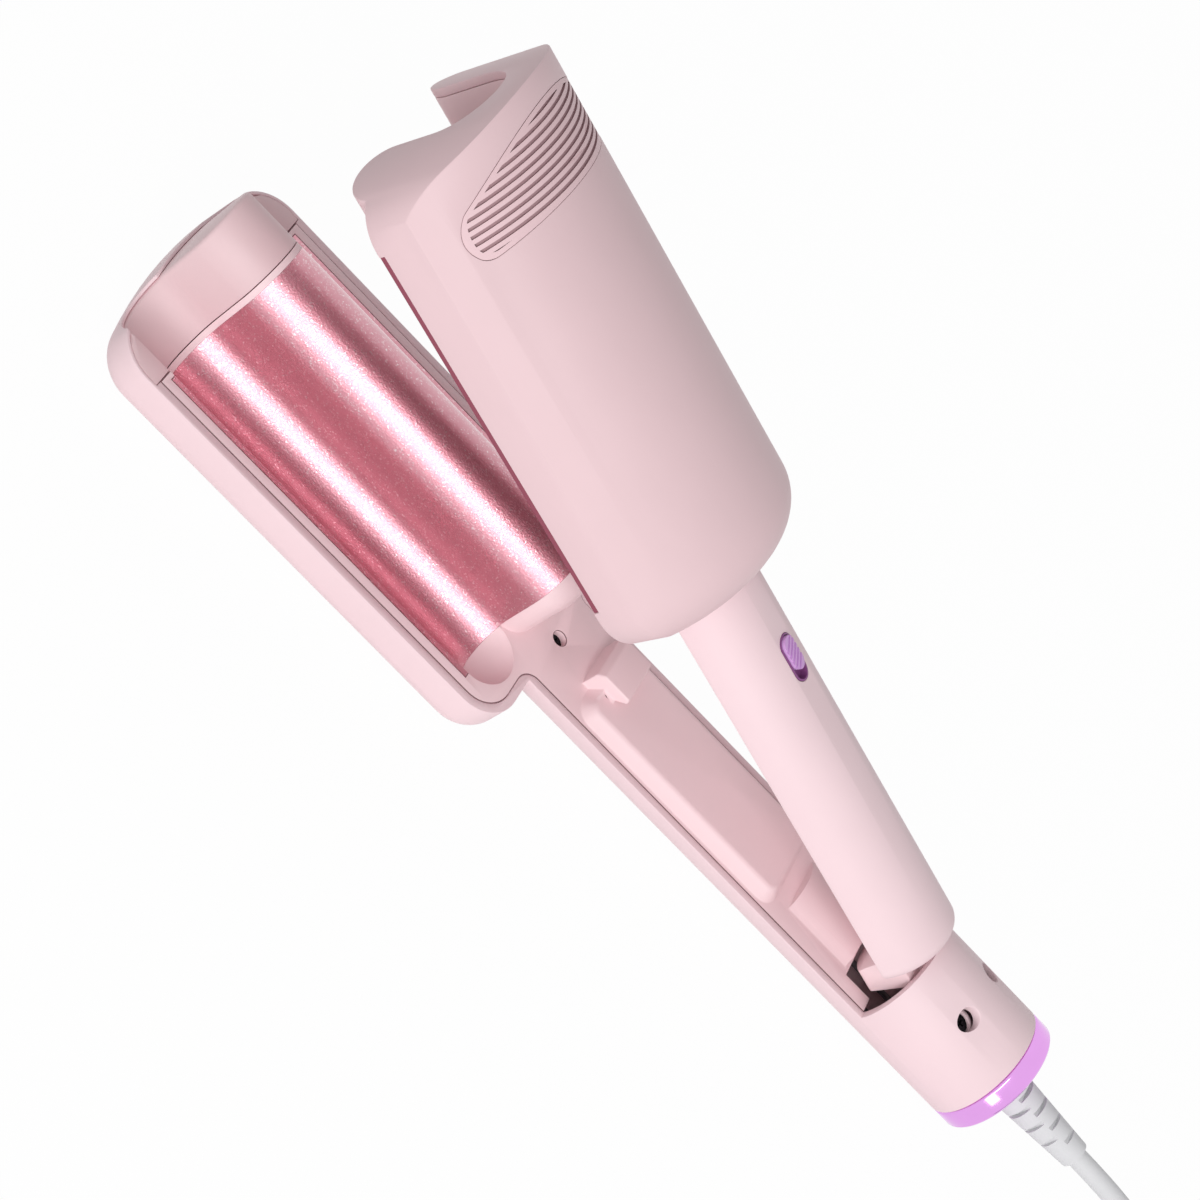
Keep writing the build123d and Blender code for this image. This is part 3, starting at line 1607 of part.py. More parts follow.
with BuildPart() as plug_body:
    with BuildSketch(Plane.XY.offset(coil_top_z)):
        with BuildLine():
            Polyline(
                (plug_face_x, plug_y - plug_width / 2),
                (plug_face_x - plug_face_length, plug_y - plug_width / 2),
                (plug_start_x, plug_y - plug_neck_width / 2),
                (plug_start_x, plug_y + plug_neck_width / 2),
                (plug_face_x - plug_face_length, plug_y + plug_width / 2),
                (plug_face_x, plug_y + plug_width / 2),
                close=True,
            )
        make_face()
    extrude(amount=plug_height)
    upright = plug_body.edges().filter_by(Axis.Z).group_by(Axis.X)
    fillet(upright[-1] + upright[-2], plug_corner_radius)
plug_body.part.label = "plug_body"
export_step(plug_body.part, "parts/plug_body.step")

with BuildPart() as plug_prongs:
    for side in (-1, 1):
        rod_along_x(
            prong_radius,
            plug_face_x,
            plug_face_x + prong_length,
            plug_y + side * prong_spacing / 2,
            plug_z,
        )
plug_prongs.part.label = "plug_prongs"
export_step(plug_prongs.part, "parts/plug_prongs.step")
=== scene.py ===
"""Looks of the hair waver: its finishes, refined pieces, cord, lights and camera.

Lengths are in metres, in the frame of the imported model: +X runs along the arms towards the cord,
+Y to the far side, +Z up, and the table is z = 0.
"""

import json
import logging
import math
from dataclasses import dataclass, field
from enum import Enum
from typing import Any

import bmesh
import bpy
from mathutils import Matrix, Vector


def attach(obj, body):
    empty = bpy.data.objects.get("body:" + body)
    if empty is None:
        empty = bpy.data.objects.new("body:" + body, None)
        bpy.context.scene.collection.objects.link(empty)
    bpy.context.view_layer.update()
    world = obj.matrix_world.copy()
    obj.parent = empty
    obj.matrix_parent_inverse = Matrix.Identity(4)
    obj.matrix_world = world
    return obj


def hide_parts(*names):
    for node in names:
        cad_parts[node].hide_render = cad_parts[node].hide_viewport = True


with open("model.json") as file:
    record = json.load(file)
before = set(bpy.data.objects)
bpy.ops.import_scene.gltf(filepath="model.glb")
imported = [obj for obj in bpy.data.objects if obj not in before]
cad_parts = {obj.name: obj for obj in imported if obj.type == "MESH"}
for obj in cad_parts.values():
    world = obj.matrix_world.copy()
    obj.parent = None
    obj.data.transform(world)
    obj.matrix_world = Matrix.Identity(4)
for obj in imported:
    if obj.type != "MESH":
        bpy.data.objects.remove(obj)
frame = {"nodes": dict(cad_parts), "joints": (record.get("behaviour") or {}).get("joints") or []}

log = logging.getLogger("waver")

MM = 0.001
Color = tuple[float, float, float]
Point = tuple[float, float, float]
# the clamp arm's hinge, whose lowest angle closes the jaws
JAW = next(joint for joint in frame["joints"] if joint["name"] == "jaw_hinge")
MERGE_DISTANCE = 0.002 * MM
FLAT_ANGLE = 0.3  # triangles that meet at less than this, in degrees, are one flat face
CORNER_ANGLE = 32.0  # faces that meet at more than this, in degrees, make a crisp corner
SMOOTH_ANGLE = 38.0  # edges below this, in degrees, shade smoothly
WIDE_STRIPS = 4  # how many strips a wide rounding has
MIX_INPUTS = (0, 6, 7)  # the Mix node's factor and its two colours, by socket number
MIX_OUTPUT = 2  # its blended colour


# --- shader maths --------------------------------------------------------------------------------
class Field:
    """A value that varies over a surface: a shader socket with arithmetic."""

    def __init__(self, graph: "Graph", socket: bpy.types.NodeSocket) -> None:
        """Wrap an output socket.

        Args:
            graph: The node graph that the socket belongs to.
            socket: The output socket.
        """
        self.graph = graph
        self.socket = socket

    def _math(self, operation: str, *values: "Field | float") -> "Field":
        """Return the result of a Math node.

        Args:
            operation: The Math node's operation.
            values: Its inputs in order.

        Returns:
            The node's output.
        """
        return self.graph.node(
            "ShaderNodeMath", {"operation": operation}, dict(enumerate(values))
        )

    def __add__(self, other: "Field | float") -> "Field":
        """Return self + other."""
        return self._math("ADD", self, other)

    def __rsub__(self, other: float) -> "Field":
        """Return other - self."""
        return self._math("SUBTRACT", other, self)

    def __mul__(self, other: "Field | float") -> "Field":
        """Return self * other."""
        return self._math("MULTIPLY", self, other)

    def above(self, low: float, high: float) -> "Field":
        """Return a soft step.

        Args:
            low: The value up to which the step is 0.
            high: The value from which it is 1.

        Returns:
            The step.
        """
        return self.graph.node(
            "ShaderNodeMapRange",
            {"interpolation_type": "SMOOTHSTEP"},
            {"Value": self, "From Min": low, "From Max": high},
        )


class Graph:
    """The node tree of one material, or of the world."""

    def __init__(self, tree: bpy.types.NodeTree) -> None:
        """Empty the tree and keep it."""
        self.tree = tree
        tree.nodes.clear()

    def node(
        self,
        kind: str,
        settings: dict[str, Any] | None = None,
        inputs: dict[Any, Any] | None = None,
        output: int | str = 0,
    ) -> Field | None:
        """Add a node.

        Args:
            kind: The node's type name.
            settings: Its properties, which are set first.
            inputs: Values or fields for its sockets, by name or index.
            output: The output to return.

        Returns:
            The chosen output, or None for a node that has no outputs.
        """
        made = self.tree.nodes.new(kind)
        for name, value in (settings or {}).items():
            setattr(made, name, value)
        for name, value in (inputs or {}).items():
            if isinstance(value, Field):
                self.tree.links.new(value.socket, made.inputs[name])
            else:
                made.inputs[name].default_value = value
        return Field(self, made.outputs[output]) if made.outputs else None

    def coordinates(self) -> Field:
        """Return the object's own coordinates, in metres."""
        return self.node("ShaderNodeTexCoord", output="Object")

    def noise(self, size: float, detail: float = 2.0, stretch: Point = (1, 1, 1)) -> Field:
        """Return noise from 0 to 1.

        Args:
            size: The size of its blotches in metres.
            detail: How many finer octaves it has.
            stretch: How much longer it is along each axis.

        Returns:
            The noise value.
        """
        scaled = self.node(
            "ShaderNodeMapping",
            inputs={"Vector": self.coordinates(), "Scale": tuple(1 / s for s in stretch)},
        )
        return self.node(
            "ShaderNodeTexNoise",
            inputs={"Vector": scaled, "Scale": 1 / size, "Detail": detail},
        )

    def mix(self, factor: Field, low: Color | Field, high: Color | Field) -> Field:
        """Return a blend of two colours.

        Args:
            factor: How much of the second colour shows.
            low: The first colour.
            high: The second colour.

        Returns:
            The blended colour.
        """
        ends = [c if isinstance(c, Field) else (*c, 1.0) for c in (low, high)]
        return self.node(
            "ShaderNodeMix",
            {"data_type": "RGBA"},
            dict(zip(MIX_INPUTS, (factor, *ends))),
            output=MIX_OUTPUT,
        )

    def bump(self, height: Field, depth: float, under: Field | None = None) -> Field:
        """Return a normal bumped by height, depth metres deep.

        Args:
            height: The height from 0 to 1.
            depth: The depth that a height of 1 stands for.
            under: A normal to bump further.

        Returns:
            The bumped normal.
        """
        inputs: dict[Any, Any] = {"Height": height, "Distance": depth, "Strength": 1.0}
        if under is not None:
            inputs["Normal"] = under
        return self.node("ShaderNodeBump", inputs=inputs)

    def surface(self, **sockets: Any) -> None:
        """Finish the tree with a Principled shader.

        Args:
            sockets: Its sockets' values, with underscores for the spaces in their names.
        """
        named = {name.replace("_", " "): value for name, value in sockets.items()}
        for name, value in named.items():
            if isinstance(value, tuple) and len(value) == 3:
                named[name] = (*value, 1.0)
        shader = self.node("ShaderNodeBsdfPrincipled", inputs=named)
        self.node("ShaderNodeOutputMaterial", inputs={"Surface": shader})


def finish_name(name: str) -> str:
    """Return a finish's name in Blender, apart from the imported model's own materials."""
    return name + "_finish"


def new_material(name: str) -> tuple[bpy.types.Material, Graph]:
    """Make a material.

    Args:
        name: The finish's name.

    Returns:
        The material and its empty graph.
    """
    material = bpy.data.materials.new(finish_name(name))
    material.use_nodes = True
    return material, Graph(material.node_tree)


# --- finishes ------------------------------------------------------------------------------------
@dataclass(frozen=True)
class MouldedPlastic:
    """Injection-moulded plastic: an even colour with a fine spark-eroded grain.

    The roughness runs from roughness_drop below the named one, over roughness_spread. The colour
    drifts by tone, in clouds and in longer flow marks along X.
    """

    name: str
    color: Color
    roughness: float = 0.42
    roughness_drop: float = 0.05
    roughness_spread: float = 0.10
    grain: float = 0.35 * MM
    depth: float = 0.010 * MM
    cloud: float = 22 * MM
    flow: float = 5 * MM
    flow_stretch: Point = (5.0, 1.0, 1.0)
    flow_share: float = 0.3
    tone: float = 0.04
    gloss: float = 0.32

    def build(self) -> bpy.types.Material:
        """Return the material."""
        material, g = new_material(self.name)
        cloud = g.noise(self.cloud, 3.0)
        flow = g.noise(self.flow, 2.0, self.flow_stretch)
        darker = tuple(c * (1 - self.tone) for c in self.color)
        lighter = tuple(min(1.0, c * (1 + self.tone / 2)) for c in self.color)
        grain = g.noise(self.grain, 2.0)
        g.surface(
            Base_Color=g.mix(
                cloud * (1 - self.flow_share) + flow * self.flow_share, darker, lighter
            ),
            Roughness=grain * self.roughness_spread + (self.roughness - self.roughness_drop),
            Normal=g.bump(grain, self.depth),
            Specular_IOR_Level=self.gloss,
        )
        return material


@dataclass(frozen=True)
class CoatedPlate:
    """Metallic plate coating: satin with fine flakes that sparkle in the highlights.

    A flake shows where its own random value and the specks are both above their shares. Flakes are
    more polished than the satin between them, and faint streaks along X are hazier.
    """

    name: str
    color: Color
    flake_color: Color
    metallic: float = 0.92
    roughness: float = 0.37
    flake_polish: float = 0.12
    streak_haze: float = 0.06
    flake: float = 0.45 * MM
    flake_depth: float = 0.06 * MM
    flake_share: tuple[float, float] = (0.62, 1.0)
    speck: float = 0.60 * MM
    speck_depth: float = 0.08 * MM
    speck_share: tuple[float, float] = (0.42, 0.66)
    streak: float = 1.4 * MM
    streak_stretch: Point = (30.0, 1.0, 1.0)
    streak_tone: float = 0.07
    coat_roughness: float = 0.28

    def build(self) -> bpy.types.Material:
        """Return the material."""
        material, g = new_material(self.name)
        flakes = g.node(
            "ShaderNodeTexVoronoi",
            {"feature": "F1"},
            {"Vector": g.coordinates(), "Scale": 1 / self.flake, "Randomness": 1.0},
            output="Color",
        )
        pick = g.node("ShaderNodeSeparateColor", inputs={"Color": flakes})
        speck = g.noise(self.speck, 1.0)
        bright = pick.above(*self.flake_share) * speck.above(*self.speck_share)
        streak = g.noise(self.streak, 3.0, self.streak_stretch)
        darker = tuple(c * (1 - self.streak_tone) for c in self.color)
        base = g.mix(streak, darker, self.color)
        g.surface(
            Base_Color=g.mix(bright, base, self.flake_color),
            Metallic=self.metallic,
            Coat_Weight=1.0,
            Coat_Roughness=self.coat_roughness,
            Roughness=self.roughness - bright * self.flake_polish + streak * self.streak_haze,
            Normal=g.bump(pick, self.flake_depth, g.bump(speck, self.speck_depth)),
        )
        return material


@dataclass(frozen=True)
class MirrorMetal:
    """Bright coloured metal with faint turning marks round the X axis."""

    name: str
    color: Color
    roughness: float = 0.10
    marks: float = 0.06
    mark_width: float = 0.25 * MM
    mark_stretch: Point = (1.0, 40.0, 40.0)
    mark_depth: float = 0.002 * MM
    smear: float = 9 * MM
    tone: float = 0.1

    def build(self) -> bpy.types.Material:
        """Return the material."""
        material, g = new_material(self.name)
        turned = g.noise(self.mark_width, 2.0, self.mark_stretch)
        darker = tuple(c * (1 - self.tone) for c in self.color)
        g.surface(
            Base_Color=g.mix(g.noise(self.smear, 2.0), darker, self.color),
            Metallic=1.0,
            Roughness=turned * self.marks + self.roughness,
            Normal=g.bump(turned, self.mark_depth),
        )
        return material


@dataclass(frozen=True)
class SoftRubber:
    """Flexible moulded rubber: matte, with a skin of fine pits and a little sheen.

    The roughness runs from roughness_drop below the named one, over roughness_spread.
    """

    name: str
    color: Color
    roughness: float = 0.58
    roughness_drop: float = 0.07
    roughness_spread: float = 0.14
    pits: float = 0.5 * MM
    pit_depth: float = 0.02 * MM
    cloud: float = 14 * MM
    tone: float = 0.05
    sheen: float = 0.1

    def build(self) -> bpy.types.Material:
        """Return the material."""
        material, g = new_material(self.name)
        pitted = g.noise(self.pits, 3.0)
        darker = tuple(c * (1 - self.tone) for c in self.color)
        g.surface(
            Base_Color=g.mix(g.noise(self.cloud, 2.0), darker, self.color),
            Roughness=pitted * self.roughness_spread + (self.roughness - self.roughness_drop),
            Normal=g.bump(pitted, self.pit_depth),
            Sheen_Weight=self.sheen,
        )
        return material


@dataclass(frozen=True)
class PlainSteel:
    """Drawn or blackened metal with faint drawing lines.

    The roughness runs from roughness_drop below the named one, over roughness_spread.
    """

    name: str
    color: Color
    roughness: float = 0.35
    roughness_drop: float = 0.07
    roughness_spread: float = 0.15
    line_width: float = 0.3 * MM
    line_stretch: Point = (1.0, 20.0, 1.0)
    line_depth: float = 0.004 * MM
    tone: float = 0.2

    def build(self) -> bpy.types.Material:
        """Return the material."""
        material, g = new_material(self.name)
        lines = g.noise(self.line_width, 2.0, self.line_stretch)
        darker = tuple(c * (1 - self.tone) for c in self.color)
        g.surface(
            Base_Color=g.mix(lines, darker, self.color),
            Metallic=1.0,
            Roughness=lines * self.roughness_spread + (self.roughness - self.roughness_drop),
            Normal=g.bump(lines, self.line_depth),
        )
        return material


@dataclass(frozen=True)
class InsideMatter:
    """Plain technical material of an inner piece, mottled between two colours.

    The roughness runs from roughness_drop below the named one, over roughness_spread.
    """

    name: str
    color: Color
    second: Color
    roughness: float = 0.6
    metallic: float = 0.0
    roughness_drop: float = 0.07
    roughness_spread: float = 0.15
    mottle: float = 2.5 * MM
    depth: float = 0.02 * MM

    def build(self) -> bpy.types.Material:
        """Return the material."""
        material, g = new_material(self.name)
        mottle = g.noise(self.mottle, 4.0)
        g.surface(
            Base_Color=g.mix(mottle, self.color, self.second),
            Metallic=self.metallic,
            Roughness=mottle * self.roughness_spread + (self.roughness - self.roughness_drop),
            Normal=g.bump(mottle, self.depth),
        )
        return material


class Finish(Enum):
    """The finishes of the waver's pieces."""

    # The shell, deck, tip, cover and grip pinks are one plastic in lit and shaded copies: the deck
    # pink is lighter, as painted light against the shade in its recess, and the tip, cover and
    # grip pinks are darker, as painted shade on the head and the dome.
    SHELL = MouldedPlastic("shell_pink", (0.885, 0.680, 0.715), 0.46)
    DECK_LIT = MouldedPlastic("deck_pink", (0.950, 0.722, 0.752), 0.48)
    TIP = MouldedPlastic("tip_pink", (0.820, 0.600, 0.625), 0.44)
    COVER_SHADE = MouldedPlastic("cover_pink", (0.770, 0.562, 0.590), 0.46)
    GRIP = MouldedPlastic("grip_pink", (0.780, 0.560, 0.590), 0.50)
    # painted shade for the grip's grooves, where the ribs shade them
    GROOVE_SHADE = MouldedPlastic("groove_shade", (0.430, 0.270, 0.290), 0.60)
    # painted shadow in the gaps of the seams between parts
    SEAM = MouldedPlastic("seam_shadow", (0.230, 0.120, 0.135), 0.70)
    PLATE = CoatedPlate("plate_rose", (0.700, 0.305, 0.370), (0.86, 0.68, 0.71))
    PLATE_RIM = MouldedPlastic("plate_rim", (0.270, 0.060, 0.095), 0.40)
    RING = MirrorMetal("ring_purple", (0.82, 0.40, 0.88))
    BEZEL = MouldedPlastic("bezel_purple", (0.270, 0.082, 0.250), 0.30)
    SLIDER = MouldedPlastic("slider_purple", (0.660, 0.370, 0.730), 0.28)
    RELIEF = SoftRubber("relief_white", (0.720, 0.720, 0.735))
    CORD = SoftRubber("cord_white", (0.720, 0.720, 0.735), 0.5)
    STEEL = PlainSteel("plain_steel", (0.55, 0.56, 0.58))
    BLACK_SCREW = PlainSteel("black_screw", (0.030, 0.030, 0.034), 0.45)
    BRASS = PlainSteel("brass_pins", (0.80, 0.62, 0.30), 0.25)
    NYLON = InsideMatter("dark_nylon", (0.040, 0.040, 0.044), (0.060, 0.060, 0.064))
    ALUMINIUM = InsideMatter("bare_aluminium", (0.6, 0.61, 0.63), (0.7, 0.71, 0.73), 0.4, 1.0)
    MICA = InsideMatter("mica", (0.50, 0.42, 0.26), (0.62, 0.54, 0.36))
    BEAD = InsideMatter("sensor_bead", (0.55, 0.42, 0.22), (0.70, 0.56, 0.32), 0.2)
    BOARD = InsideMatter("board_green", (0.010, 0.090, 0.025), (0.015, 0.120, 0.035), 0.4)
    BLACK = InsideMatter("switch_black", (0.020, 0.020, 0.020), (0.030, 0.030, 0.030))
    WIRE = InsideMatter("wire_grey", (0.18, 0.18, 0.19), (0.22, 0.22, 0.23), 0.5)

    def material(self) -> bpy.types.Material:
        """Return this finish's material, made on first use."""
        made = bpy.data.materials.get(finish_name(self.value.name))
        return made or self.value.build()


# --- pieces --------------------------------------------------------------------------------------
def dress_node(node: str, finish: Finish) -> None:
    """Give a CAD node that stays as it is its finish.

    Args:
        node: The node.
        finish: What it is made of.
    """
    obj = frame["nodes"][node]
    obj.data.materials.clear()
    obj.data.materials.append(finish.material())
    log.info("dressed %s in %s", node, finish.value.name)


def add_piece(
    name: str, bm: bmesh.types.BMesh, finishes: tuple[Finish, ...]
) -> bpy.types.Object:
    """Make an object from a bmesh and free the bmesh.

    Args:
        name: The piece's name.
        bm: Its shape, in metres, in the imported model's frame.
        finishes: What its faces are made of, by their material index.

    Returns:
        The new object.
    """
    mesh = bpy.data.meshes.new(name)
    bm.normal_update()
    for face in bm.faces:
        face.smooth = True
    smooth = math.radians(SMOOTH_ANGLE)
    for edge in bm.edges:
        edge.smooth = len(edge.link_faces) == 2 and edge.calc_face_angle() < smooth
    bm.to_mesh(mesh)
    bm.free()
    obj = bpy.data.objects.new(name, mesh)
    bpy.context.scene.collection.objects.link(obj)
    for finish in finishes:
        mesh.materials.append(finish.material())
    log.info("made %s with %d faces", name, len(mesh.polygons))
    return obj


@dataclass(frozen=True)
class Edging:
    """How the crisp edges of a moulded piece are softened, and where it meets its neighbours.

    Places are in millimetres, with the clamp arm closed. Each of the soft places is a box's low
    and high corner and the width of the rounding in it, each seam is a plane's axis and its place
    on it, and corners inside the boxes to keep stay as they are.
    """

    width: float = 0.30
    seam_width: float = 0.20
    seam_reach: float = 0.03
    soft: tuple[tuple[Point, Point, float], ...] = ()
    seams: tuple[tuple[int, float], ...] = ()
    keep: tuple[tuple[Point, Point], ...] = ()

    def within(self, edge: bmesh.types.BMEdge, low: Point, high: Point, turn: Matrix) -> bool:
        """Say whether an edge lies between two corners of a box.

        Args:
            edge: The edge.
            low: The box's low corner.
            high: Its high corner.
            turn: What brings the piece to its closed place.

        Returns:
            True where both ends of the edge are in the box.
        """
        ends = [turn @ vert.co / MM for vert in edge.verts]
        return all(a <= v <= b for end in ends for a, v, b in zip(low, end, high))

    def crisp(self, bm: bmesh.types.BMesh, turn: Matrix) -> list[bmesh.types.BMEdge]:
        """Return the corners of a shape that may be softened.

        Args:
            bm: The shape.
            turn: What brings the piece to its closed place.

        Returns:
            Its crisp edges outside the boxes that are kept as they are.
        """
        return [
            edge
            for edge in crisp_edges(bm)
            if not any(self.within(edge, low, high, turn) for low, high in self.keep)
        ]

    def on_seam(self, edge: bmesh.types.BMEdge, turn: Matrix) -> bool:
        """Say whether a corner is an outward one in a seam plane.

        Args:
            edge: The corner's edge.
            turn: What brings the piece to its closed place.

        Returns:
            True where the corner is a seam.
        """
        ends = [turn @ vert.co / MM for vert in edge.verts]
        return edge.is_convex and any(
            all(abs(end[axis] - at) < self.seam_reach for end in ends)
            for axis, at in self.seams
        )


def closing_turn(body: str) -> Matrix:
    """Return the turn that brings a body's pieces from their open place to the closed one.

    Args:
        body: The body that the pieces ride on.

    Returns:
        The turn about the jaw's pin, or none for the other bodies.
    """
    if body != "clamp":
        return Matrix.Identity(4)
    hinge = Matrix.Translation(JAW["pos_m"])
    closed = math.radians(JAW["range_deg"][0])
    return hinge @ Matrix.Rotation(closed, 4, Vector(JAW["axis"])) @ hinge.inverted()


def merged_copy(node: str) -> bmesh.types.BMesh:
    """Copy a CAD node's shape, with its triangles merged into flat faces.

    Args:
        node: The node to copy.

    Returns:
        The merged shape.
    """
    bm = bmesh.new()
    bm.from_mesh(frame["nodes"][node].data)
    bmesh.ops.remove_doubles(bm, verts=bm.verts, dist=MERGE_DISTANCE)
    bmesh.ops.dissolve_limit(
        bm, angle_limit=math.radians(FLAT_ANGLE), verts=bm.verts, edges=bm.edges
    )
    return bm


def crisp_edges(bm: bmesh.types.BMesh) -> list[bmesh.types.BMEdge]:
    """Return the edges where two faces meet at a corner."""
    corner = math.radians(CORNER_ANGLE)
    return [e for e in bm.edges if len(e.link_faces) == 2 and e.calc_face_angle() > corner]


def soften(
    bm: bmesh.types.BMesh, edges: list[bmesh.types.BMEdge], width: float, segments: int = 2
) -> list[bmesh.types.BMFace]:
    """Round off some edges.

    Args:
        bm: The shape.
        edges: Its edges to round.
        width: The width of the rounding in millimetres.
        segments: How many strips it has.

    Returns:
        The faces of the rounding.
    """
    if not edges:
        return []
    made = bmesh.ops.bevel(
        bm,
        geom=edges,
        offset=width * MM,
        affect="EDGES",
        segments=segments,
        profile=0.5,
        material=-1,
        clamp_overlap=False,
    )
    return made["faces"]


def refine_node(node: str, finish: Finish, body: str, edging: Edging) -> None:
    """Replace a CAD node by its merged copy with softened edges and painted shadow in its seams.

    Args:
        node: The node to copy and replace.
        finish: What it is made of.
        body: The body that it rides on.
        edging: How its edges are softened.
    """
    turn = closing_turn(body)
    bm = merged_copy(node)
    for low, high, width in edging.soft:
        chosen = [e for e in edging.crisp(bm, turn) if edging.within(e, low, high, turn)]
        soften(bm, chosen, width, WIDE_STRIPS)
    seams = [e for e in edging.crisp(bm, turn) if edging.on_seam(e, turn)]
    # the seams' rounding takes the painted shadow
    for face in soften(bm, seams, edging.seam_width):
        face.material_index = 1
    done = {e for f in bm.faces if f.material_index == 1 for e in f.edges}
    soften(bm, [e for e in edging.crisp(bm, turn) if e not in done], edging.width)
    obj = add_piece(node + "_piece", bm, (finish, Finish.SEAM))
    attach(obj, body)
    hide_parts(node)


# --- camera, floor and light ---------------------------------------------------------------------
@dataclass(frozen=True)
class Softbox:
    """An area light: its place, what it points at, its size along X and across, and its power."""

    name: str
    at: Point
    aim: Point
    size: tuple[float, float]
    power: float


@dataclass
class Studio:
    """The camera, the floor and the lights.

    The camera looks back along the unit vector whose X and Y are -back_x and -back_y, and is then
    rolled about it.
    """

    camera_at: Point = (-0.23425, -0.63280, 0.65490)
    back_x: float = 0.235
    back_y: float = 0.696
    roll: float = 1.028
    lens_mm: float = 99.862
    sensor_mm: float = 36.0
    farthest: float = 20.0
    floor_size: float = 6.0
    floor_drop: float = 0.2 * MM
    floor_color: Color = (0.92, 0.92, 0.92)
    floor_shown: float = 0.97
    world_level: float = 0.46
    softboxes: tuple[Softbox, ...] = (
        Softbox("key", (0.15, -1.17, 0.93), (-0.09, 0, 0.03), (0.42, 0.90), 8.1),
        Softbox("side", (0.05, -1.50, 0.35), (-0.05, 0, 0.04), (1.6, 0.50), 6.0),
    )

    def add_camera(self) -> None:
        """Add the camera at its angle and make it the scene's."""
        back_z = math.sqrt(1 - self.back_x**2 - self.back_y**2)
        back = Vector((-self.back_x, -self.back_y, back_z))
        level = Vector((0, 0, 1)).cross(back).normalized()
        upright = back.cross(level)
        right = math.cos(self.roll) * level + math.sin(self.roll) * upright
        up = -math.sin(self.roll) * level + math.cos(self.roll) * upright
        data = bpy.data.cameras.new("camera")
        data.lens = self.lens_mm
        data.sensor_width = self.sensor_mm
        data.clip_end = self.farthest
        camera = bpy.data.objects.new("camera", data)
        bpy.context.scene.collection.objects.link(camera)
        turn = Matrix((right, up, back)).transposed().to_4x4()
        camera.matrix_world = Matrix.Translation(self.camera_at) @ turn
        bpy.context.scene.camera = camera
        log.info("camera set")

    def add_floor(self) -> None:
        """Add the white floor, which keeps a faint shadow."""
        bm = bmesh.new()
        bmesh.ops.create_grid(bm, x_segments=1, y_segments=1, size=self.floor_size)
        bmesh.ops.translate(bm, verts=bm.verts, vec=(0, 0, -self.floor_drop))
        mesh = bpy.data.meshes.new("floor")
        bm.to_mesh(mesh)
        bm.free()
        floor = bpy.data.objects.new("floor", mesh)
        bpy.context.scene.collection.objects.link(floor)
        material, g = new_material("floor_white")
        diffuse = g.node("ShaderNodeBsdfDiffuse", inputs={"Color": (*self.floor_color, 1)})
        glow = g.node("ShaderNodeEmission", inputs={"Color": (1, 1, 1, 1), "Strength": 1.0})
        shown = self.background_rays(g) * self.floor_shown
        mixed = g.node("ShaderNodeMixShader", inputs={0: shown, 1: diffuse, 2: glow})
        g.node("ShaderNodeOutputMaterial", inputs={"Surface": mixed})
        mesh.materials.append(material)

    def background_rays(self, g: Graph) -> Field:
        """Return which rays see the background itself.

        Args:
            g: The graph to add the nodes to.

        Returns:
            1 on the rays that show it, and 0 on those that only light.
        """
        rays = [
            g.node("ShaderNodeLightPath", output=name)
            for name in ("Is Camera Ray", "Is Glossy Ray", "Is Transmission Ray")
        ]
        return (rays[0] + rays[1] + rays[2]).above(0.0, 1.0)

    def add_world(self) -> None:
        """Light everything from all round, and show white behind the object."""
        world = bpy.data.worlds.new("studio")
        bpy.context.scene.world = world
        world.use_nodes = True
        g = Graph(world.node_tree)
        shown = self.background_rays(g)
        strength = shown * (1 - self.world_level) + self.world_level
        glow = g.node(
            "ShaderNodeBackground", inputs={"Color": (1, 1, 1, 1), "Strength": strength}
        )
        g.node("ShaderNodeOutputWorld", inputs={"Surface": glow})

    def add_softbox(self, softbox: Softbox) -> None:
        """Add an area light.

        Args:
            softbox: Where it stands and how it shines.
        """
        data = bpy.data.lights.new(softbox.name, "AREA")
        data.shape = "RECTANGLE"
        data.size, data.size_y = softbox.size
        data.energy = softbox.power
        light = bpy.data.objects.new(softbox.name, data)
        bpy.context.scene.collection.objects.link(light)
        back = (Vector(softbox.at) - Vector(softbox.aim)).normalized()
        across = Vector((1, 0, 0))
        across = (across - across.dot(back) * back).normalized()
        light.matrix_world = Matrix.Translation(softbox.at) @ Matrix(
            (across, back.cross(across), back)
        ).transposed().to_4x4()

    def build(self) -> None:
        """Build the studio."""
        self.add_camera()
        self.add_floor()
        self.add_world()
        for softbox in self.softboxes:
            self.add_softbox(softbox)
            log.info("softbox %s of %.1f W", softbox.name, softbox.power)


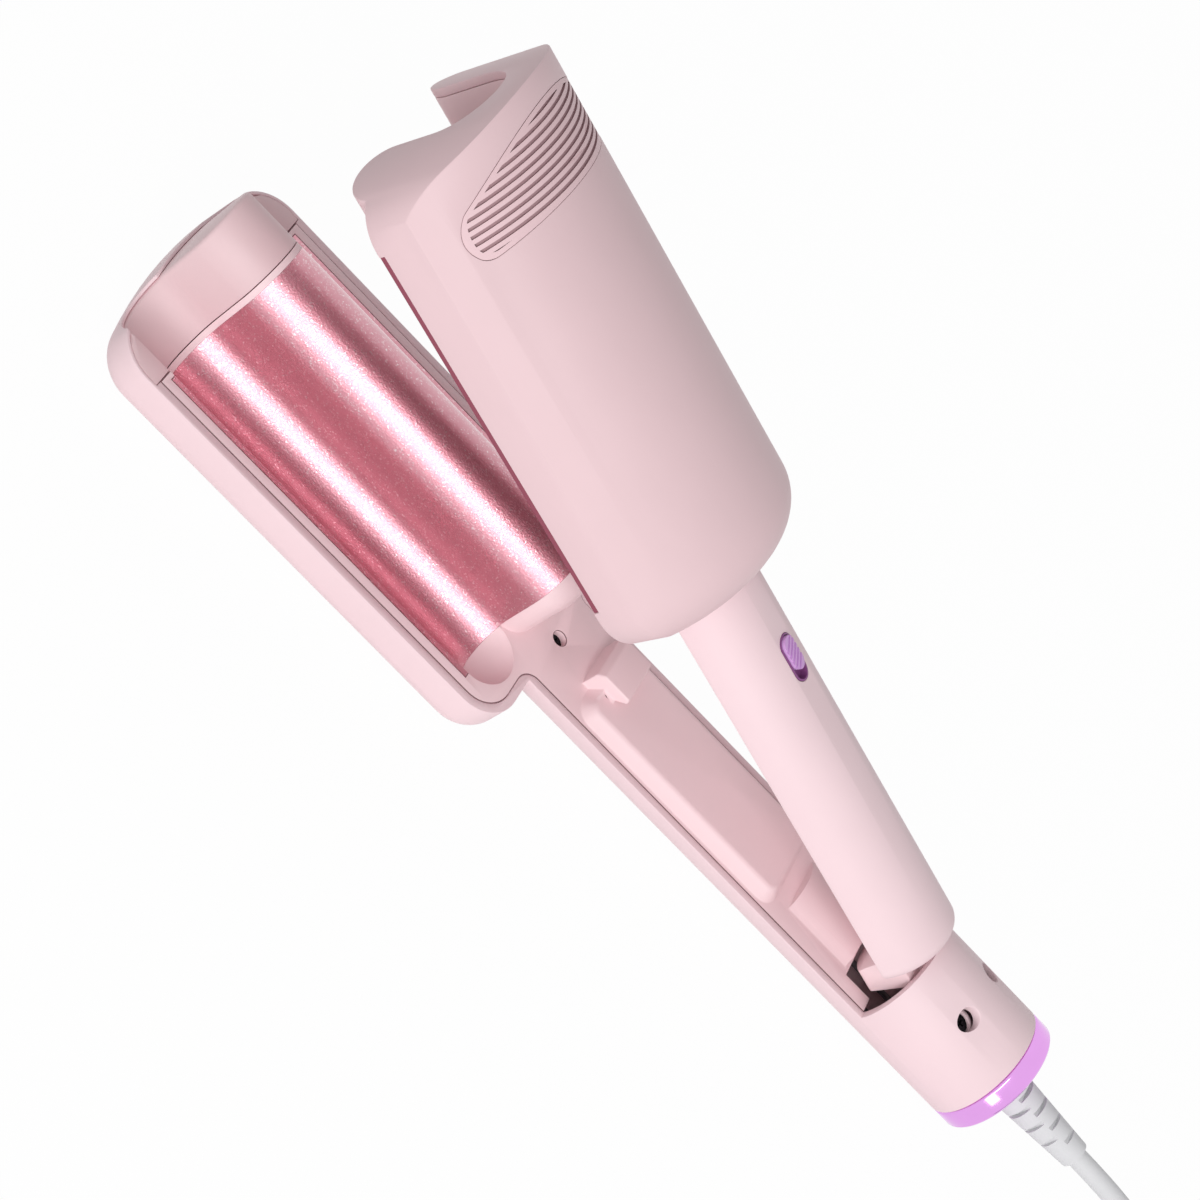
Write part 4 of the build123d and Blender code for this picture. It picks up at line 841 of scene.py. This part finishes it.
# --- cord ----------------------------------------------------------------------------------------
@dataclass
class Cord:
    """The mains cord with its coil, plug and strain relief.

    The lead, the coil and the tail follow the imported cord's route; lead and tail are in
    millimetres.
    """

    radius: float = 3.2 * MM
    layer_turns: float = 3.25
    inner_radius: float = 26.0 * MM
    entry_x: float = 286.0 * MM
    steps_per_turn: int = 16
    rise_steps: int = 5
    ring_steps: int = 6
    span_steps: int = 8
    exit: Point = (0.2015, 0.0, 0.020)
    lead: tuple[Point, ...] = (
        (201.5, 0.0, 20.0),
        (223.0, 0.0, 20.0),
        (245.0, 0.9, 13.2),
        (269.0, 0.2, 3.2),
    )
    tail: tuple[Point, ...] = (
        (261.8, -88.8, 13.4),
        (243.0, -66.9, 16.3),
        (241.5, -42.0, 16.4),
        (250.0, -21.0, 17.0),
        (267.0, -9.0, 19.2),
        (287.0, -7.5, 19.8),
    )

    def coil_points(self) -> list[Vector]:
        """Return the coil's points: a flat layer wound inwards and one above it outwards.

        Returns:
            The points in metres.
        """
        pitch = 2 * self.radius
        outer = self.inner_radius + self.layer_turns * pitch
        centre = Vector((self.entry_x, -outer, 0))
        steps = round(self.layer_turns * self.steps_per_turn)
        points = []
        for index in range(2 * steps + 1):
            angle = math.pi / 2 - math.tau * index / self.steps_per_turn
            turns = abs(index - steps) / self.steps_per_turn
            reach = self.inner_radius + turns * pitch
            rise = min(max((index - steps) / self.rise_steps, 0.0), 1.0)
            lift = self.radius + pitch * rise * rise * (3 - 2 * rise)
            points.append(
                centre + Vector((reach * math.cos(angle), reach * math.sin(angle), lift))
            )
        return points

    def build(self) -> None:
        """Build the cord as one smooth curve and dress what is on it."""
        points = [Vector(p) * MM for p in self.lead]
        points += self.coil_points()
        points += [Vector(p) * MM for p in self.tail]
        curve = bpy.data.curves.new("mains_cord", "CURVE")
        curve.dimensions = "3D"
        curve.bevel_depth = self.radius
        curve.bevel_resolution = self.ring_steps
        curve.resolution_u = self.span_steps
        curve.use_fill_caps = True
        spline = curve.splines.new("NURBS")
        spline.points.add(len(points) - 1)
        for control, point in zip(spline.points, points):
            control.co = (*point, 1.0)
        spline.order_u = 3
        spline.use_endpoint_u = True
        curve.materials.append(Finish.CORD.material())
        cord = bpy.data.objects.new("mains_cord", curve)
        bpy.context.scene.collection.objects.link(cord)
        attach(cord, "base")
        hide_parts("power_cord", "cord_coil", "cord_tail")
        length = sum((b - a).length for a, b in zip(points, points[1:]))
        log.info("cord control points span %.3f m", length)
        dress_node("plug_body", Finish.RELIEF)
        dress_node("plug_prongs", Finish.BRASS)
        dress_node("strain_relief", Finish.RELIEF)


# --- arms ----------------------------------------------------------------------------------------
@dataclass
class BaseArm:
    """The lower arm with its barrel, hinge block and tail ring."""

    deck_edging: Edging = Edging(
        soft=(
            ((-5.0, -7.0, 20.8), (9.0, 12.0, 26.0), 0.55),  # hook
            ((-5.0, -18.0, 20.3), (80.0, 18.0, 20.7), 1.0),  # plateau
            ((84.0, -12.0, 19.0), (109.0, 12.0, 20.5), 0.8),  # hump
        ),
        seams=((2, 16.5),),  # the parting plane
        keep=(  # the dish round the plate, where the walls are thin
            ((-148.0, -38.5, 0.0), (-22.6, 38.5, 16.4)),
            ((-148.0, -38.5, 16.6), (-22.6, 38.5, 46.0)),
            ((-148.0, -35.6, 0.0), (-33.5, 35.6, 46.0)),
            ((-34.0, -34.9, 0.0), (-22.6, 34.9, 46.0)),
        ),
    )
    tip_edging: Edging = Edging(
        soft=(((-168.0, -42.0, 8.0), (-160.0, 42.0, 46.0), 1.2),),  # the end of the head
        seams=((0, -147.7),),  # its edge towards the plate
        seam_width=0.14,
    )
    refined: dict[str, tuple[Finish, str]] = field(
        default_factory=lambda: {
            "base_housing": (Finish.SHELL, "shell_pink"),
            "base_deck": (Finish.DECK_LIT, "deck_pink"),
            "base_tip_block": (Finish.TIP, "deck_pink"),
            "tail_ring": (Finish.RING, "ring_purple"),
        }
    )
    dressed: dict[str, Finish] = field(
        default_factory=lambda: {
            "base_wave_plate": Finish.PLATE,
            "base_heater": Finish.ALUMINIUM,
            "heater_bracket": Finish.NYLON,
            "thermal_fuse": Finish.STEEL,
            "base_thermistor": Finish.BEAD,
            "neck_screw": Finish.BLACK_SCREW,
            "hinge_block": Finish.DECK_LIT,
            "barrel_screws": Finish.BLACK_SCREW,
            "hinge_pin": Finish.STEEL,
            "jaw_spring": Finish.STEEL,
            "swivel_socket": Finish.NYLON,
            "swivel_plug": Finish.NYLON,
            "lead_wires": Finish.WIRE,
        }
    )

    def edging(self, node: str) -> Edging:
        """Return how the edges of a node are softened."""
        named = {"base_deck": self.deck_edging, "base_tip_block": self.tip_edging}
        return named.get(node, Edging())

    def build(self) -> None:
        """Build the lower arm's pieces."""
        for node, (finish, slot) in self.refined.items():
            refine_node(node, finish, "base", self.edging(node))
        for node, finish in self.dressed.items():
            dress_node(node, finish)


@dataclass
class FingerGrip:
    """The ribbed pad on the dome, with painted shade in the grooves between its ribs.

    Sizes are in millimetres, with the clamp arm closed, where the dome's axis lies along X at
    dome_centre_z. A face with a corner more than groove_depth under the dome belongs to a groove.
    """

    dome_radius: float = 42.0
    dome_centre_z: float = 13.4
    groove_depth: float = 0.25

    def build(self) -> None:
        """Build the pad."""
        turn = closing_turn("clamp")
        bm = merged_copy("finger_grip")
        for face in bm.faces:
            spots = [turn @ vert.co / MM for vert in face.verts]
            reach = min(math.hypot(at.y, at.z - self.dome_centre_z) for at in spots)
            # faces in a groove take the painted shade
            face.material_index = 1 if reach < self.dome_radius - self.groove_depth else 0
        pad = add_piece("finger_grip_piece", bm, (Finish.GRIP, Finish.GROOVE_SHADE))
        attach(pad, "clamp")
        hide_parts("finger_grip")


@dataclass
class ClampArm:
    """The upper arm with its handle and switch."""

    rim_slope: float = 0.4  # faces whose normal rises less than this are the plate's rim
    refined: dict[str, tuple[Finish, str]] = field(
        default_factory=lambda: {
            "clamp_cover": (Finish.COVER_SHADE, "cover_pink"),
            "clamp_tip_block": (Finish.TIP, "deck_pink"),
            "clamp_frame": (Finish.DECK_LIT, "deck_pink"),
            "clamp_handle": (Finish.SHELL, "cover_pink"),
            "handle_liner": (Finish.DECK_LIT, "deck_pink"),
        }
    )
    dressed: dict[str, Finish] = field(
        default_factory=lambda: {
            "clamp_heaters": Finish.ALUMINIUM,
            "clamp_mica": Finish.MICA,
            "clamp_thermistor": Finish.BEAD,
            "liner_screws": Finish.BLACK_SCREW,
            "circuit_board": Finish.BOARD,
            "switch_bezel": Finish.BEZEL,
            "switch_body": Finish.BLACK,
            "switch_slider": Finish.SLIDER,
        }
    )

    def build_plate(self) -> None:
        """Build the upper wave plate, which is coated on its face and dark red on its rim."""
        turn = closing_turn("clamp").to_3x3()
        bm = merged_copy("clamp_wave_plate")
        bm.normal_update()
        for face in bm.faces:
            face.material_index = 1 if abs((turn @ face.normal).z) < self.rim_slope else 0
        plate = add_piece("clamp_wave_plate_piece", bm, (Finish.PLATE, Finish.PLATE_RIM))
        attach(plate, "clamp")
        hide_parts("clamp_wave_plate")

    def build(self) -> None:
        """Build the upper arm's pieces."""
        for node, (finish, slot) in self.refined.items():
            refine_node(node, finish, "clamp", Edging())
        self.build_plate()
        FingerGrip().build()
        for node, finish in self.dressed.items():
            dress_node(node, finish)


def main() -> None:
    """Build everything in order."""
    logging.basicConfig(level=logging.INFO, format="%(name)s: %(message)s")
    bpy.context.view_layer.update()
    bpy.context.scene.view_settings.view_transform = "Standard"
    Studio().build()
    Cord().build()
    BaseArm().build()
    ClampArm().build()


if __name__ == "__main__":
    main()
